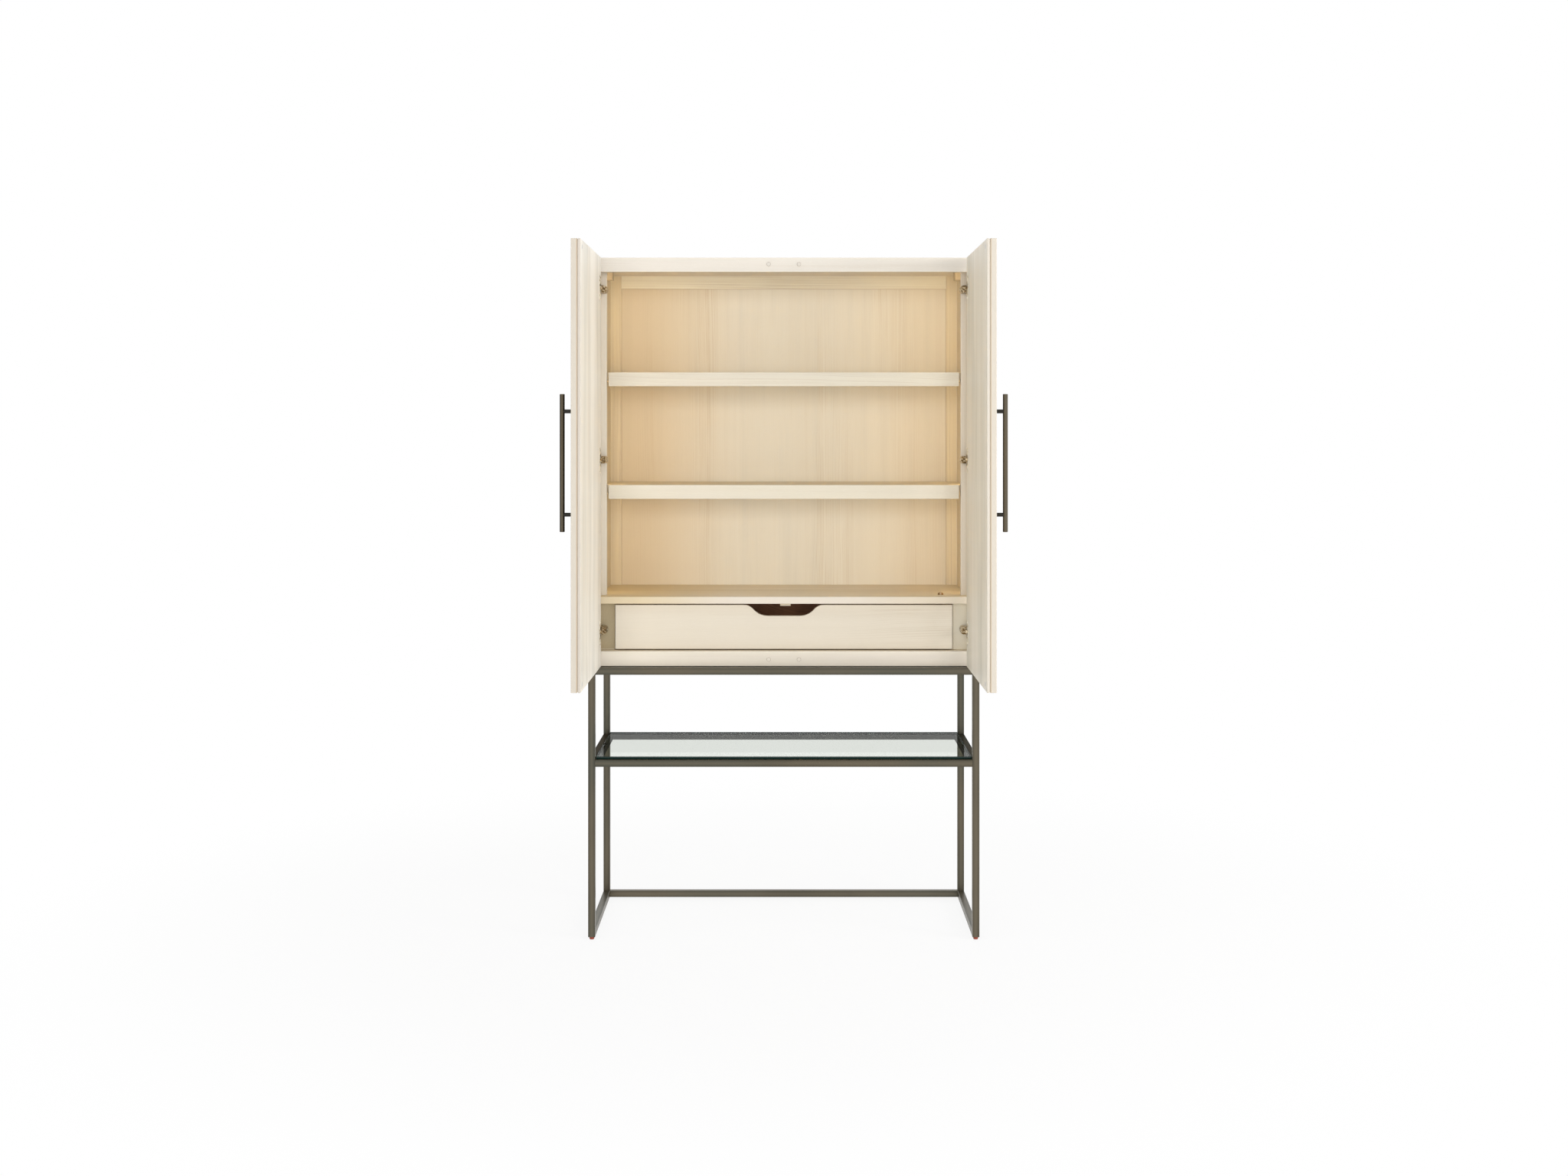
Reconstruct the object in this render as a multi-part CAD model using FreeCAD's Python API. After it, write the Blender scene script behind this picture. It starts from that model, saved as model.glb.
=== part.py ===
import FreeCAD, Part
import os
from math import sqrt

# Bar cabinet on an open steel stand, in millimetres.
# X runs to the right, Y to the back and Z up. The origin is on the floor under the
# middle of the stand. Both doors stand open at a right angle, as at rest.

# The whole cabinet
cabinet_width = 1067.0       # stand, carcass and closed doors alike
cabinet_height = 1862.0
stand_height = 741.0         # floor to the top of the steel stand
carcass_depth = 444.0        # without the doors

# Fits and cuts
overrun = 2.0                # how far a cutting shape passes the face that it opens
fit_gap = 0.05               # round a screw, pin or stud that never moves
slip_gap = 0.3               # between parts that slide past each other
pin_gap = 0.08               # round a hinge pin, on the radius
edge_round = 1.2             # broken edges of the oak boards

# Steel stand
tube_size = 19.0
tube_wall = 1.5
tube_corner = 1.2
shelf_rail_top = 490.0       # top of the rails that frame the glass shelf
ledge_width = 10.0
ledge_height = 16.0
carcass_bar_width = 28.0     # flat bars inside the front and back top rails
carcass_bar_thickness = 3.0
bumper_height = 1.0
bumper_radius = 4.0
glass_thickness = 8.0
glass_play = 1.0
glass_round = 1.0
bumper_shares = (-0.42, 0.0, 0.42)

# Levelling glides under the legs
glide_height = 7.0
glide_top_radius = 7.5
glide_foot_radius = 6.0
glide_travel = 10.0
stem_radius = 4.0
insert_height = 22.0
stem_reserve = 2.0           # stem left above the insert when a glide is wound out

# Carcass boards
side_thickness = 22.5
top_rail_height = 39.0
bottom_rail_height = 40.0
front_rail_depth = 22.0
top_thickness = 18.0
bottom_thickness = 21.0
deck_thickness = 19.0
drawer_bay_height = 130.5    # clear height between the bottom and the deck
spacer_thickness = 2.0       # lifts the carcass off the stand
spacer_radius = 8.0
fixing_radius = 2.5
fixing_head_radius = 4.5
fixing_head_height = 2.5
fixing_bite = 25.0           # length of a fixing screw in the side panel
fixing_shares = (-0.36, 0.0, 0.36)

# Framed back
back_recess = 15.0           # from the carcass back to the frame
back_frame_thickness = 18.0
back_stile_width = 32.0
back_top_rail_height = 38.0
back_bottom_rail_height = 40.0
back_panel_thickness = 6.0
back_panel_sunk = 6.0        # panel face behind the frame's face
back_groove_depth = 8.0
back_groove_play = 0.15
stile_round = 4.0

# Light battens and their strips
batten_width = 21.0
batten_depth = 18.0
batten_setback = 54.0        # behind the carcass front
strip_width = 14.0
strip_depth = 7.0
strip_wall = 1.0
strip_from_side = 2.0
strip_end_gap = 6.0
diffuser_thickness = 1.5
tape_width = 8.0
tape_thickness = 1.0

# Adjustable shelves
shelf_top_shares = (0.6763, 0.334)   # of the height between the deck and the top
shelf_thickness = 22.0
shelf_side_gap = 3.0
shelf_back_gap = 1.0
nosing_height = 38.0
nosing_depth = 22.0
nosing_batten_gap = 5.0
nosing_setback = 56.0
shelf_notch_gap = 5.0        # behind the light strip
shelf_pin_radius = 2.5
shelf_pin_depth = 10.0       # length of a pin in the side panel
shelf_pin_reach = 10.0       # length of a pin inside the cabinet
shelf_pin_from_notch = 40.0
shelf_pin_from_back = 50.0

# Small blocks under the top and under the deck
corner_block_size = 20.0
corner_block_height = 24.0
corner_block_length = 60.0
corner_block_setback = 242.0
deck_block_width = 29.0
deck_block_height = 11.0
deck_block_depth = 12.0
deck_block_setback = 60.0
deck_block_offset = 4.5      # to the right of the middle

# Touch dimmer in the deck
dimmer_radius = 8.0
dimmer_cap_height = 6.0
dimmer_cap_round = 5.0
dimmer_barrel_radius = 6.0
dimmer_barrel_length = 12.0
dimmer_from_side = 76.0      # from the right side panel
dimmer_setback = 70.0

# Drawer and what carries it
drawer_gap_beside = 2.5      # drawer front to a filler
drawer_front_thickness = 19.0
drawer_front_setback = 27.0
drawer_gap_below = 3.0
drawer_gap_above = 5.0
drawer_side_thickness = 12.0
drawer_side_drop = 15.5      # box side below the top edge of the front
drawer_side_lift = 9.0       # box side above the bottom edge of the front
drawer_gap_behind = 15.0     # drawer box to the framed back
drawer_bottom_thickness = 6.0
drawer_bottom_lift = 6.0
drawer_groove_depth = 6.0
notch_width = 226.0          # finger notch in the top edge of the front
notch_floor_width = 88.0
notch_depth = 31.0
notch_turn_share = 0.43      # how far down the ogee its curve turns over
filler_setback = 54.0
filler_width = 44.0
filler_board = 18.0
filler_gap_behind = 7.0
slide_thickness = 12.7
slide_height = 45.0
slide_sheet = 1.2
slide_end_gap = 10.0         # slide ahead of the rear of the drawer box
slide_setback = 56.0
slide_inner_setback = 50.0

# Driver and cable grommet of the lights
driver_width = 20.0
driver_length = 150.0
driver_height = 50.0
driver_round = 2.0
driver_setback = 120.0
driver_from_side = 3.0
grommet_radius = 9.0
grommet_bore_radius = 4.0
grommet_flange_radius = 12.0
grommet_flange_thickness = 2.0
grommet_from_side = 81.0     # from the right side panel
grommet_lift = 85.0          # above the bottom panel

# Doors
door_gap = 2.0               # closed door to carcass
door_centre_gap = 3.0
door_end_gap = 1.0           # at the top and the bottom
door_outer_thickness = 15.5
door_groove_width = 2.0
door_groove_depth = 3.0
door_inner_thickness = 6.5
open_inset = 34.5            # open door's inner face behind the cabinet's side
open_setback = 19.0          # open door's hinge edge ahead of the carcass

# Handles
handle_length = 342.0
handle_radius = 6.25
handle_end_round = 1.5
handle_post_span = 256.0
handle_post_radius = 5.0
handle_stand_off = 26.0
handle_from_edge = 45.0
handle_centre_lift = 5.5     # above the middle of the door
handle_stud_radius = 2.5
handle_stud_length = 12.0

# Magnetic catches
catch_from_edge = 40.0
catch_from_end = 18.0
magnet_radius = 5.0
magnet_length = 12.0
magnet_proud = 1.5
strike_radius = 6.0
strike_thickness = 2.0

# Concealed hinges, three to a door
hinge_from_top = 85.0
hinge_from_bottom = 95.5
cup_radius = 17.5
cup_wall = 1.0
cup_floor = 0.8
cup_depth = 13.0
cup_from_edge = 23.0
cup_plate_thickness = 1.2
cup_plate_rim = 2.0
cup_screw_from_centre = 9.5
cup_screw_spread = 27.5
cup_wing_radius = 6.5
hinge_screw_radius = 2.0
hinge_screw_head_radius = 3.5
hinge_screw_head_height = 1.0
hinge_screw_length = 12.0
hinge_pin_radius = 1.5
hinge_eye_radius = 3.0
arm_pin_inset = 34.75        # fixed pin from the cabinet's side
arm_pin_ahead = 10.25        # fixed pin ahead of the carcass
lever_half_height = 4.5
lever_eye_half_height = 2.6
lever_half_thickness = 1.0
lever_bulge = 2.4
lever_shoulder = 4.5
lever_elbow = 16.3
arm_reach = 25.0             # arm's far face from the side panel
arm_half_height = 10.0
arm_wall = 2.0
arm_setback = 2.0
arm_length = 48.0
arm_round = 7.0
plate_thickness = 3.0
plate_setback = 6.0
plate_length = 42.0
plate_half_height = 12.0
wing_setback = 30.0
wing_length = 14.0
wing_half_height = 25.0
plate_screw_height = 18.0

# Places worked out from the sizes above
half_width = cabinet_width / 2
inner_half = half_width - side_thickness
door_thickness = door_outer_thickness + door_groove_width + door_inner_thickness
stand_depth = carcass_depth + door_gap + door_thickness
stand_front = -stand_depth / 2
stand_back = stand_depth / 2
front = stand_front + door_gap + door_thickness
back = stand_back
carcass_bottom = stand_height + spacer_thickness
carcass_top = cabinet_height
floor_top = carcass_bottom + bottom_rail_height
ceiling = carcass_top - top_thickness
deck_under = floor_top + drawer_bay_height
deck_top = deck_under + deck_thickness
shelf_tops = [deck_top + share * (ceiling - deck_top) for share in shelf_top_shares]
back_frame_rear = back - back_recess
back_frame_front = back_frame_rear - back_frame_thickness
back_panel_front = back_frame_front + back_panel_sunk
stile_inner = inner_half - back_stile_width
leg_inner = half_width - tube_size
rail_inner_depth = stand_depth / 2 - tube_size
shelf_rail_bottom = shelf_rail_top - tube_size
ledge_top = shelf_rail_bottom + ledge_height
batten_inner = inner_half - batten_width
batten_front = front + batten_setback
batten_rear = batten_front + batten_depth
strip_rear = batten_rear + strip_depth
filler_inner = inner_half - filler_width
door_bottom = carcass_bottom + door_end_gap
door_top = carcass_top - door_end_gap
door_width = half_width - door_centre_gap / 2
handle_centre_height = (door_bottom + door_top) / 2 + handle_centre_lift
hinge_heights = (door_bottom + hinge_from_bottom,
                 (door_bottom + hinge_from_bottom + door_top - hinge_from_top) / 2,
                 door_top - hinge_from_top)
drawer_bottom_edge = floor_top + drawer_gap_below
drawer_top_edge = deck_under - drawer_gap_above
drawer_front_rear = front + drawer_front_setback + drawer_front_thickness
drawer_box_half = filler_inner - slide_thickness
drawer_box_inner = drawer_box_half - drawer_side_thickness
drawer_box_rear = back_frame_front - drawer_gap_behind
drawer_side_bottom = drawer_bottom_edge + drawer_side_lift
drawer_side_top = drawer_top_edge - drawer_side_drop
drawer_half_width = filler_inner - drawer_gap_beside
slide_middle_height = (drawer_side_bottom + drawer_side_top) / 2
slide_length = drawer_box_rear - slide_end_gap - front - slide_inner_setback

up = FreeCAD.Vector(0, 0, 1)
along_x = FreeCAD.Vector(1, 0, 0)
along_y = FreeCAD.Vector(0, 1, 0)
origin = FreeCAD.Vector(0, 0, 0)


# A box between two corners, in any order.
def block(x0, x1, y0, y1, z0, z1):
    low = FreeCAD.Vector(min(x0, x1), min(y0, y1), min(z0, z1))
    return Part.makeBox(abs(x1 - x0), abs(y1 - y0), abs(z1 - z0), low)


def rod(radius, start, end):
    path = end - start
    return Part.makeCylinder(radius, path.Length, start, path)


def mirrored(shape):
    return shape.mirror(origin, along_x)


def edges_along(shape, direction):
    found = []
    for edge in shape.Edges:
        run = edge.Vertexes[-1].Point - edge.Vertexes[0].Point
        if run.Length > 0 and run.cross(direction).Length < run.Length * fit_gap:
            found.append(edge)
    return found


def rounded(shape, radius, direction=None):
    edges = shape.Edges if direction is None else edges_along(shape, direction)
    return shape.makeFillet(radius, edges)


def board(x0, x1, y0, y1, z0, z1):
    return rounded(block(x0, x1, y0, y1, z0, z1), edge_round)


def fused(shapes):
    return shapes[0].multiFuse(shapes[1:]).removeSplitter()


def save(name, *solids):
    shape = solids[0] if len(solids) == 1 else Part.makeCompound(list(solids))
    shape.exportStep("parts/" + name + ".step")


# Steel stand
def tube_bar(x0, x1, y0, y1, z0, z1, direction):
    outer = rounded(block(x0, x1, y0, y1, z0, z1), tube_corner, direction)
    trim = FreeCAD.Vector(tube_wall, tube_wall, tube_wall)
    trim = trim - direction * (tube_wall + overrun)
    hollow = block(x0 + trim.x, x1 - trim.x, y0 + trim.y, y1 - trim.y,
                   z0 + trim.z, z1 - trim.z)
    return outer.cut(hollow)


def legs():
    made = []
    for x in (-half_width, leg_inner):
        for y in (stand_front, stand_back - tube_size):
            outer = rounded(block(x, x + tube_size, y, y + tube_size,
                                  glide_height, stand_height), tube_corner, up)
            hollow = block(x + tube_wall, x + tube_size - tube_wall,
                           y + tube_wall, y + tube_size - tube_wall,
                           glide_height - overrun, stand_height - tube_wall)
            made.append(outer.cut(hollow))
    return made


def leg_centres():
    x = half_width - tube_size / 2
    y = stand_depth / 2 - tube_size / 2
    return {"front_left": (-x, -y), "front_right": (x, -y),
            "back_left": (-x, y), "back_right": (x, y)}


def leg_inserts():
    made = []
    half = tube_size / 2 - tube_wall - fit_gap
    for x, y in leg_centres().values():
        body = block(x - half, x + half, y - half, y + half,
                     glide_height, glide_height + insert_height)
        bore = rod(stem_radius + slip_gap, FreeCAD.Vector(x, y, glide_height - overrun),
                   FreeCAD.Vector(x, y, glide_height + insert_height + overrun))
        made.append(body.cut(bore))
    return made


def glide(x, y):
    foot_top = glide_height - slip_gap
    foot = Part.makeCone(glide_foot_radius, glide_top_radius, foot_top,
                         FreeCAD.Vector(x, y, 0), up)
    stem_top = glide_height + insert_height + glide_travel + stem_reserve
    stem = rod(stem_radius, FreeCAD.Vector(x, y, 0), FreeCAD.Vector(x, y, stem_top))
    return fused([foot, stem])


def cross_rail(y0, z0):
    return tube_bar(-leg_inner, leg_inner, y0, y0 + tube_size, z0, z0 + tube_size, along_x)


def side_rail(x0, z0):
    return tube_bar(x0, x0 + tube_size, -rail_inner_depth, rail_inner_depth,
                    z0, z0 + tube_size, along_y)


def rail_ring(z0, with_front):
    made = [side_rail(-half_width, z0), side_rail(leg_inner, z0)]
    made.append(cross_rail(rail_inner_depth, z0))
    if with_front:
        made.append(cross_rail(stand_front, z0))
    return made


def fixing_places():
    x = half_width - tube_size / 2
    middle = (front + back) / 2
    return [(side * x, middle + share * carcass_depth)
            for side in (-1, 1) for share in fixing_shares]


def base_top_rails():
    z0 = stand_height - tube_size
    holes = [rod(fixing_radius + fit_gap, FreeCAD.Vector(x, y, z0 - overrun),
                 FreeCAD.Vector(x, y, stand_height + overrun)) for x, y in fixing_places()]
    return [rail.cut(holes) for rail in rail_ring(z0, True)]


# Welded level with the tops of the rails, so that nothing shows between stand and carcass.
def carcass_bars():
    inner = rail_inner_depth - carcass_bar_width
    return [block(-leg_inner, leg_inner, sign * inner, sign * rail_inner_depth,
                  stand_height - carcass_bar_thickness, stand_height) for sign in (-1, 1)]


def shelf_ledge_bars():
    side_end = rail_inner_depth - ledge_width
    made = []
    for sign in (-1, 1):
        made.append(block(-leg_inner, leg_inner, sign * side_end, sign * rail_inner_depth,
                          shelf_rail_bottom, ledge_top))
        made.append(block(sign * (leg_inner - ledge_width), sign * leg_inner,
                          -side_end, side_end, shelf_rail_bottom, ledge_top))
    return made


def glass_bumpers():
    x = leg_inner - ledge_width / 2
    y = rail_inner_depth - ledge_width / 2
    spots = [(share * leg_inner * 2, side * y) for side in (-1, 1) for share in bumper_shares]
    spots += [(side * x, 0) for side in (-1, 1)]
    return [rod(bumper_radius, FreeCAD.Vector(u, v, ledge_top),
                FreeCAD.Vector(u, v, ledge_top + bumper_height)) for u, v in spots]


def glass_shelf():
    x = leg_inner - glass_play
    y = rail_inner_depth - glass_play
    z0 = ledge_top + bumper_height
    return rounded(block(-x, x, -y, y, z0, z0 + glass_thickness), glass_round)


def carcass_fixings():
    made = []
    head_z = stand_height - tube_size
    for x, y in fixing_places():
        foot = FreeCAD.Vector(x, y, head_z)
        tip = FreeCAD.Vector(x, y, carcass_bottom + fixing_bite)
        head = rod(fixing_head_radius, foot - up * fixing_head_height, foot)
        made.append(fused([head, rod(fixing_radius, foot - up * fixing_head_height, tip)]))
        low = FreeCAD.Vector(x, y, stand_height)
        washer = rod(spacer_radius, low, low + up * spacer_thickness)
        bore = rod(fixing_radius + fit_gap, low - up * overrun,
                   low + up * (spacer_thickness + overrun))
        made.append(washer.cut(bore))
    return made


# Carcass
def shelf_pin_spots():
    spots = []
    for top in shelf_tops:
        z = top - shelf_thickness - shelf_pin_radius
        for y in (strip_rear + shelf_notch_gap + shelf_pin_from_notch,
                  back_frame_front - shelf_pin_from_back):
            spots.append((y, z))
    return spots


def plate_screw_spots():
    y = front + wing_setback + wing_length / 2
    return [(y, z + side * plate_screw_height) for z in hinge_heights for side in (-1, 1)]


def side_panel_right():
    body = board(inner_half, half_width, front, back, carcass_bottom, carcass_top)
    cuts = []
    for y, z in shelf_pin_spots():
        cuts.append(rod(shelf_pin_radius + fit_gap,
                        FreeCAD.Vector(inner_half - overrun, y, z),
                        FreeCAD.Vector(inner_half + shelf_pin_depth + fit_gap, y, z)))
    for y, z in plate_screw_spots():
        cuts.append(rod(hinge_screw_radius + fit_gap,
                        FreeCAD.Vector(inner_half - overrun, y, z),
                        FreeCAD.Vector(inner_half + hinge_screw_length + fit_gap, y, z)))
    for x, y in fixing_places():
        cuts.append(rod(fixing_radius + fit_gap, FreeCAD.Vector(x, y, carcass_bottom - overrun),
                        FreeCAD.Vector(x, y, carcass_bottom + fixing_bite + fit_gap)))
    return body.cut(cuts)


def catch_x():
    return door_centre_gap / 2 + catch_from_edge


def magnet_bores(z):
    return [rod(magnet_radius + fit_gap, FreeCAD.Vector(side * catch_x(), front - overrun, z),
                FreeCAD.Vector(side * catch_x(), front + magnet_length - magnet_proud + fit_gap, z))
            for side in (-1, 1)]


def top_front_rail():
    body = board(-inner_half, inner_half, front, front + front_rail_depth,
                 carcass_top - top_rail_height, carcass_top)
    return body.cut(magnet_bores(carcass_top - catch_from_end))


def bottom_front_rail():
    body = board(-inner_half, inner_half, front, front + front_rail_depth,
                 carcass_bottom, floor_top)
    return body.cut(magnet_bores(carcass_bottom + catch_from_end))


def top_panel():
    return block(-inner_half, inner_half, front + front_rail_depth, back, ceiling, carcass_top)


def bottom_panel():
    return block(-inner_half, inner_half, front + front_rail_depth, back,
                 floor_top - bottom_thickness, floor_top)


def catch_magnets():
    made = []
    for z in (carcass_top - catch_from_end, carcass_bottom + catch_from_end):
        for side in (-1, 1):
            face = FreeCAD.Vector(side * catch_x(), front - magnet_proud, z)
            made.append(rod(magnet_radius, face, face + along_y * magnet_length))
    return made


def drawer_deck():
    body = board(-inner_half, inner_half, front, back_frame_front, deck_under, deck_top)
    tongue = block(-stile_inner, stile_inner, back_frame_front - edge_round * 2,
                   back_panel_front, deck_under, deck_top)
    bore = rod(dimmer_barrel_radius + fit_gap, dimmer_centre(deck_under - overrun),
               dimmer_centre(deck_top + overrun))
    return fused([body, tongue]).cut(bore)


def dimmer_centre(z):
    return FreeCAD.Vector(inner_half - dimmer_from_side, front + dimmer_setback, z)


def touch_dimmer():
    barrel = rod(dimmer_barrel_radius, dimmer_centre(deck_top - dimmer_barrel_length),
                 dimmer_centre(deck_top + dimmer_cap_height / 2))
    cap = rod(dimmer_radius, dimmer_centre(deck_top), dimmer_centre(deck_top + dimmer_cap_height))
    rim = [edge for edge in cap.Edges
           if len(edge.Vertexes) == 1 and edge.BoundBox.ZMin > deck_top + dimmer_cap_height / 2]
    return fused([barrel, cap.makeFillet(dimmer_cap_round, rim)])


# Framed back
def panel_groove(half, z0, z1):
    return block(-half, half, back_panel_front - back_groove_play,
                 back_panel_front + back_panel_thickness + back_groove_play, z0, z1)


def back_stile_right():
    body = block(stile_inner, inner_half, back_frame_front, back_frame_rear, floor_top, ceiling)
    front_edges = [edge for edge in edges_along(body, up)
                   if edge.BoundBox.XMax < inner_half and edge.BoundBox.YMax < back_frame_rear]
    body = body.makeFillet(stile_round, front_edges)
    return body.cut(panel_groove(stile_inner + back_groove_depth,
                                 floor_top - overrun, ceiling + overrun))


def back_rails():
    top_edge = ceiling - back_top_rail_height
    bottom_edge = floor_top + back_bottom_rail_height
    top = block(-stile_inner, stile_inner, back_frame_front, back_frame_rear, top_edge, ceiling)
    top = top.cut(panel_groove(half_width, top_edge - overrun, top_edge + back_groove_depth))
    bottom = block(-stile_inner, stile_inner, back_frame_front, back_frame_rear,
                   floor_top, bottom_edge)
    bottom = bottom.cut(panel_groove(half_width, bottom_edge - back_groove_depth,
                                     bottom_edge + overrun))
    return [top, bottom]


def back_panel():
    half = stile_inner + back_groove_depth - back_groove_play
    z0 = floor_top + back_bottom_rail_height - back_groove_depth + back_groove_play
    z1 = ceiling - back_top_rail_height + back_groove_depth - back_groove_play
    body = block(-half, half, back_panel_front, back_panel_front + back_panel_thickness, z0, z1)
    bore = rod(grommet_radius + fit_gap, grommet_centre(back_panel_front - overrun),
               grommet_centre(back_frame_rear + overrun))
    return body.cut(bore)


def grommet_centre(y):
    return FreeCAD.Vector(inner_half - grommet_from_side, y, floor_top + grommet_lift)


def cable_grommet():
    rear = back_panel_front + back_panel_thickness
    plug = rod(grommet_radius, grommet_centre(back_panel_front),
               grommet_centre(rear + grommet_flange_thickness))
    flange = rod(grommet_flange_radius, grommet_centre(rear),
                 grommet_centre(rear + grommet_flange_thickness))
    bore = rod(grommet_bore_radius, grommet_centre(back_panel_front - overrun),
               grommet_centre(rear + grommet_flange_thickness + overrun))
    return fused([plug, flange]).cut(bore)


# Battens and their light strips
def light_batten():
    return board(batten_inner, inner_half, batten_front, batten_rear, deck_top, ceiling)


def strip_ends():
    return deck_top + strip_end_gap, ceiling - strip_end_gap


def led_strip():
    x1 = inner_half - strip_from_side
    x0 = x1 - strip_width
    z0, z1 = strip_ends()
    channel = block(x0, x1, batten_rear, strip_rear, z0, z1)
    channel = channel.cut(block(x0 + strip_wall, x1 - strip_wall, batten_rear + strip_wall,
                                strip_rear + overrun, z0 - overrun, z1 + overrun))
    middle = (x0 + x1) / 2
    tape = block(middle - tape_width / 2, middle + tape_width / 2, batten_rear + strip_wall,
                 batten_rear + strip_wall + tape_thickness, z0, z1)
    return [channel, tape]


def led_diffuser():
    x1 = inner_half - strip_from_side - strip_wall
    z0, z1 = strip_ends()
    return block(x1 - strip_width + strip_wall * 2, x1, strip_rear - diffuser_thickness,
                 strip_rear, z0, z1)


def corner_block():
    y0 = front + corner_block_setback
    return board(inner_half - corner_block_size, inner_half, y0, y0 + corner_block_length,
                 ceiling - corner_block_height, ceiling)


def deck_block():
    x0 = deck_block_offset - deck_block_width / 2
    y0 = front + deck_block_setback
    return block(x0, x0 + deck_block_width, y0, y0 + deck_block_depth,
                 deck_under - deck_block_height, deck_under)


# Shelves
def shelf(top):
    under = top - shelf_thickness
    nosing_rear = front + nosing_setback + nosing_depth
    notch_rear = strip_rear + shelf_notch_gap
    half = inner_half - shelf_side_gap
    wide = block(-half, half, notch_rear, back_frame_front - shelf_back_gap, under, top)
    narrow_half = batten_inner - nosing_batten_gap
    narrow = block(-narrow_half, narrow_half, nosing_rear, notch_rear, under, top)
    tongue_half = stile_inner - shelf_back_gap
    tongue = block(-tongue_half, tongue_half, back_frame_front - shelf_back_gap,
                   back_panel_front - shelf_back_gap, under, top)
    return fused([wide, narrow, tongue])


def shelf_nosing(top):
    half = batten_inner - nosing_batten_gap
    y0 = front + nosing_setback
    return board(-half, half, y0, y0 + nosing_depth, top - nosing_height, top)


def shelf_pins_right():
    made = []
    for y, z in shelf_pin_spots():
        made.append(rod(shelf_pin_radius, FreeCAD.Vector(inner_half - shelf_pin_reach, y, z),
                        FreeCAD.Vector(inner_half + shelf_pin_depth, y, z)))
    return made


# Drawer and its runners
def drawer_filler():
    y0 = front + filler_setback
    y1 = back_frame_front - filler_gap_behind
    runner = block(filler_inner, filler_inner + filler_board, y0, y1, floor_top, deck_under)
    face = block(filler_inner, inner_half, y0, y0 + filler_board, floor_top, deck_under)
    tail = block(filler_inner, inner_half, y1 - filler_board, y1, floor_top, deck_under)
    return fused([runner, face, tail])


def slide_section(x0, x1, half, web_at_side, y0):
    y1 = y0 + slide_length
    low = slide_middle_height - half
    high = slide_middle_height + half
    body = block(x0, x1, y0, y1, low, high)
    hollow_x0 = x0 - overrun if web_at_side else x0 + slide_sheet
    hollow_x1 = x1 - slide_sheet if web_at_side else x1 + overrun
    hollow = block(hollow_x0, hollow_x1, y0 - overrun, y1 + overrun,
                   low + slide_sheet, high - slide_sheet)
    return body.cut(hollow)


def slide_step():
    return slide_sheet + slip_gap


def slide_outer_member():
    return slide_section(filler_inner - slide_thickness + slide_step() * 2, filler_inner,
                         slide_height / 2, True, front + slide_setback)


def slide_middle_member():
    return slide_section(filler_inner - slide_thickness + slide_step(),
                         filler_inner - slide_step(),
                         slide_height / 2 - slide_step(), True, front + slide_setback)


def slide_inner_member():
    return slide_section(drawer_box_half, filler_inner - slide_step() * 2,
                         slide_height / 2 - slide_step() * 2, False,
                         front + slide_inner_setback)


# The finger notch runs down each side in two arcs that meet without a corner.
def notch_cutter():
    run = (notch_width - notch_floor_width) / 2
    drop = notch_depth
    turn_x = run * notch_turn_share
    turn_z = drop * notch_turn_share
    both_radii = (run * run + drop * drop) / (2 * drop)
    upper = both_radii * notch_turn_share
    lower = both_radii - upper
    y0 = front + drawer_front_setback - overrun
    top = drawer_top_edge

    def at(x, below):
        return FreeCAD.Vector(x, y0, top - below)

    def arc_middle(radius, share_x, centre_sign, anchor_x, anchor_below):
        half_x = share_x / 2
        rise = radius - sqrt(radius * radius - half_x * half_x)
        return anchor_x + half_x, anchor_below + centre_sign * rise

    wide = notch_width / 2
    narrow = notch_floor_width / 2
    upper_x, upper_below = arc_middle(upper, turn_x, 1, -wide, 0)
    lower_x, lower_below = arc_middle(lower, turn_x - run, -1, -narrow, drop)
    left = [Part.Arc(at(-wide, 0), at(upper_x, upper_below), at(turn_x - wide, turn_z)),
            Part.Arc(at(turn_x - wide, turn_z), at(lower_x, lower_below), at(-narrow, drop))]
    right = [Part.Arc(at(narrow, drop), at(-lower_x, lower_below), at(wide - turn_x, turn_z)),
             Part.Arc(at(wide - turn_x, turn_z), at(-upper_x, upper_below), at(wide, 0))]
    floor = Part.LineSegment(at(-narrow, drop), at(narrow, drop))
    lid = [Part.LineSegment(at(wide, 0), at(wide, -overrun)),
           Part.LineSegment(at(wide, -overrun), at(-wide, -overrun)),
           Part.LineSegment(at(-wide, -overrun), at(-wide, 0))]
    outline = Part.Wire([curve.toShape() for curve in left + [floor] + right + lid])
    return Part.Face(outline).extrude(along_y * (drawer_front_thickness + overrun * 2))


def drawer_front():
    body = board(-drawer_half_width, drawer_half_width, front + drawer_front_setback,
                 drawer_front_rear, drawer_bottom_edge, drawer_top_edge)
    return body.cut(notch_cutter())


def drawer_box_walls():
    side = block(drawer_box_inner, drawer_box_half, drawer_front_rear, drawer_box_rear,
                 drawer_side_bottom, drawer_side_top)
    rear = block(-drawer_box_inner, drawer_box_inner, drawer_box_rear - drawer_side_thickness,
                 drawer_box_rear, drawer_side_bottom, drawer_side_top)
    groove = drawer_bottom_shape(fit_gap)
    return [side.cut(groove), mirrored(side).cut(groove), rear.cut(groove)]


def drawer_bottom_shape(gap):
    half = drawer_box_inner + drawer_groove_depth + gap
    rear = drawer_box_rear - drawer_side_thickness + drawer_groove_depth + gap
    z0 = drawer_side_bottom + drawer_bottom_lift
    return block(-half, half, drawer_front_rear, rear, z0 - gap,
                 z0 + drawer_bottom_thickness + gap)


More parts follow.
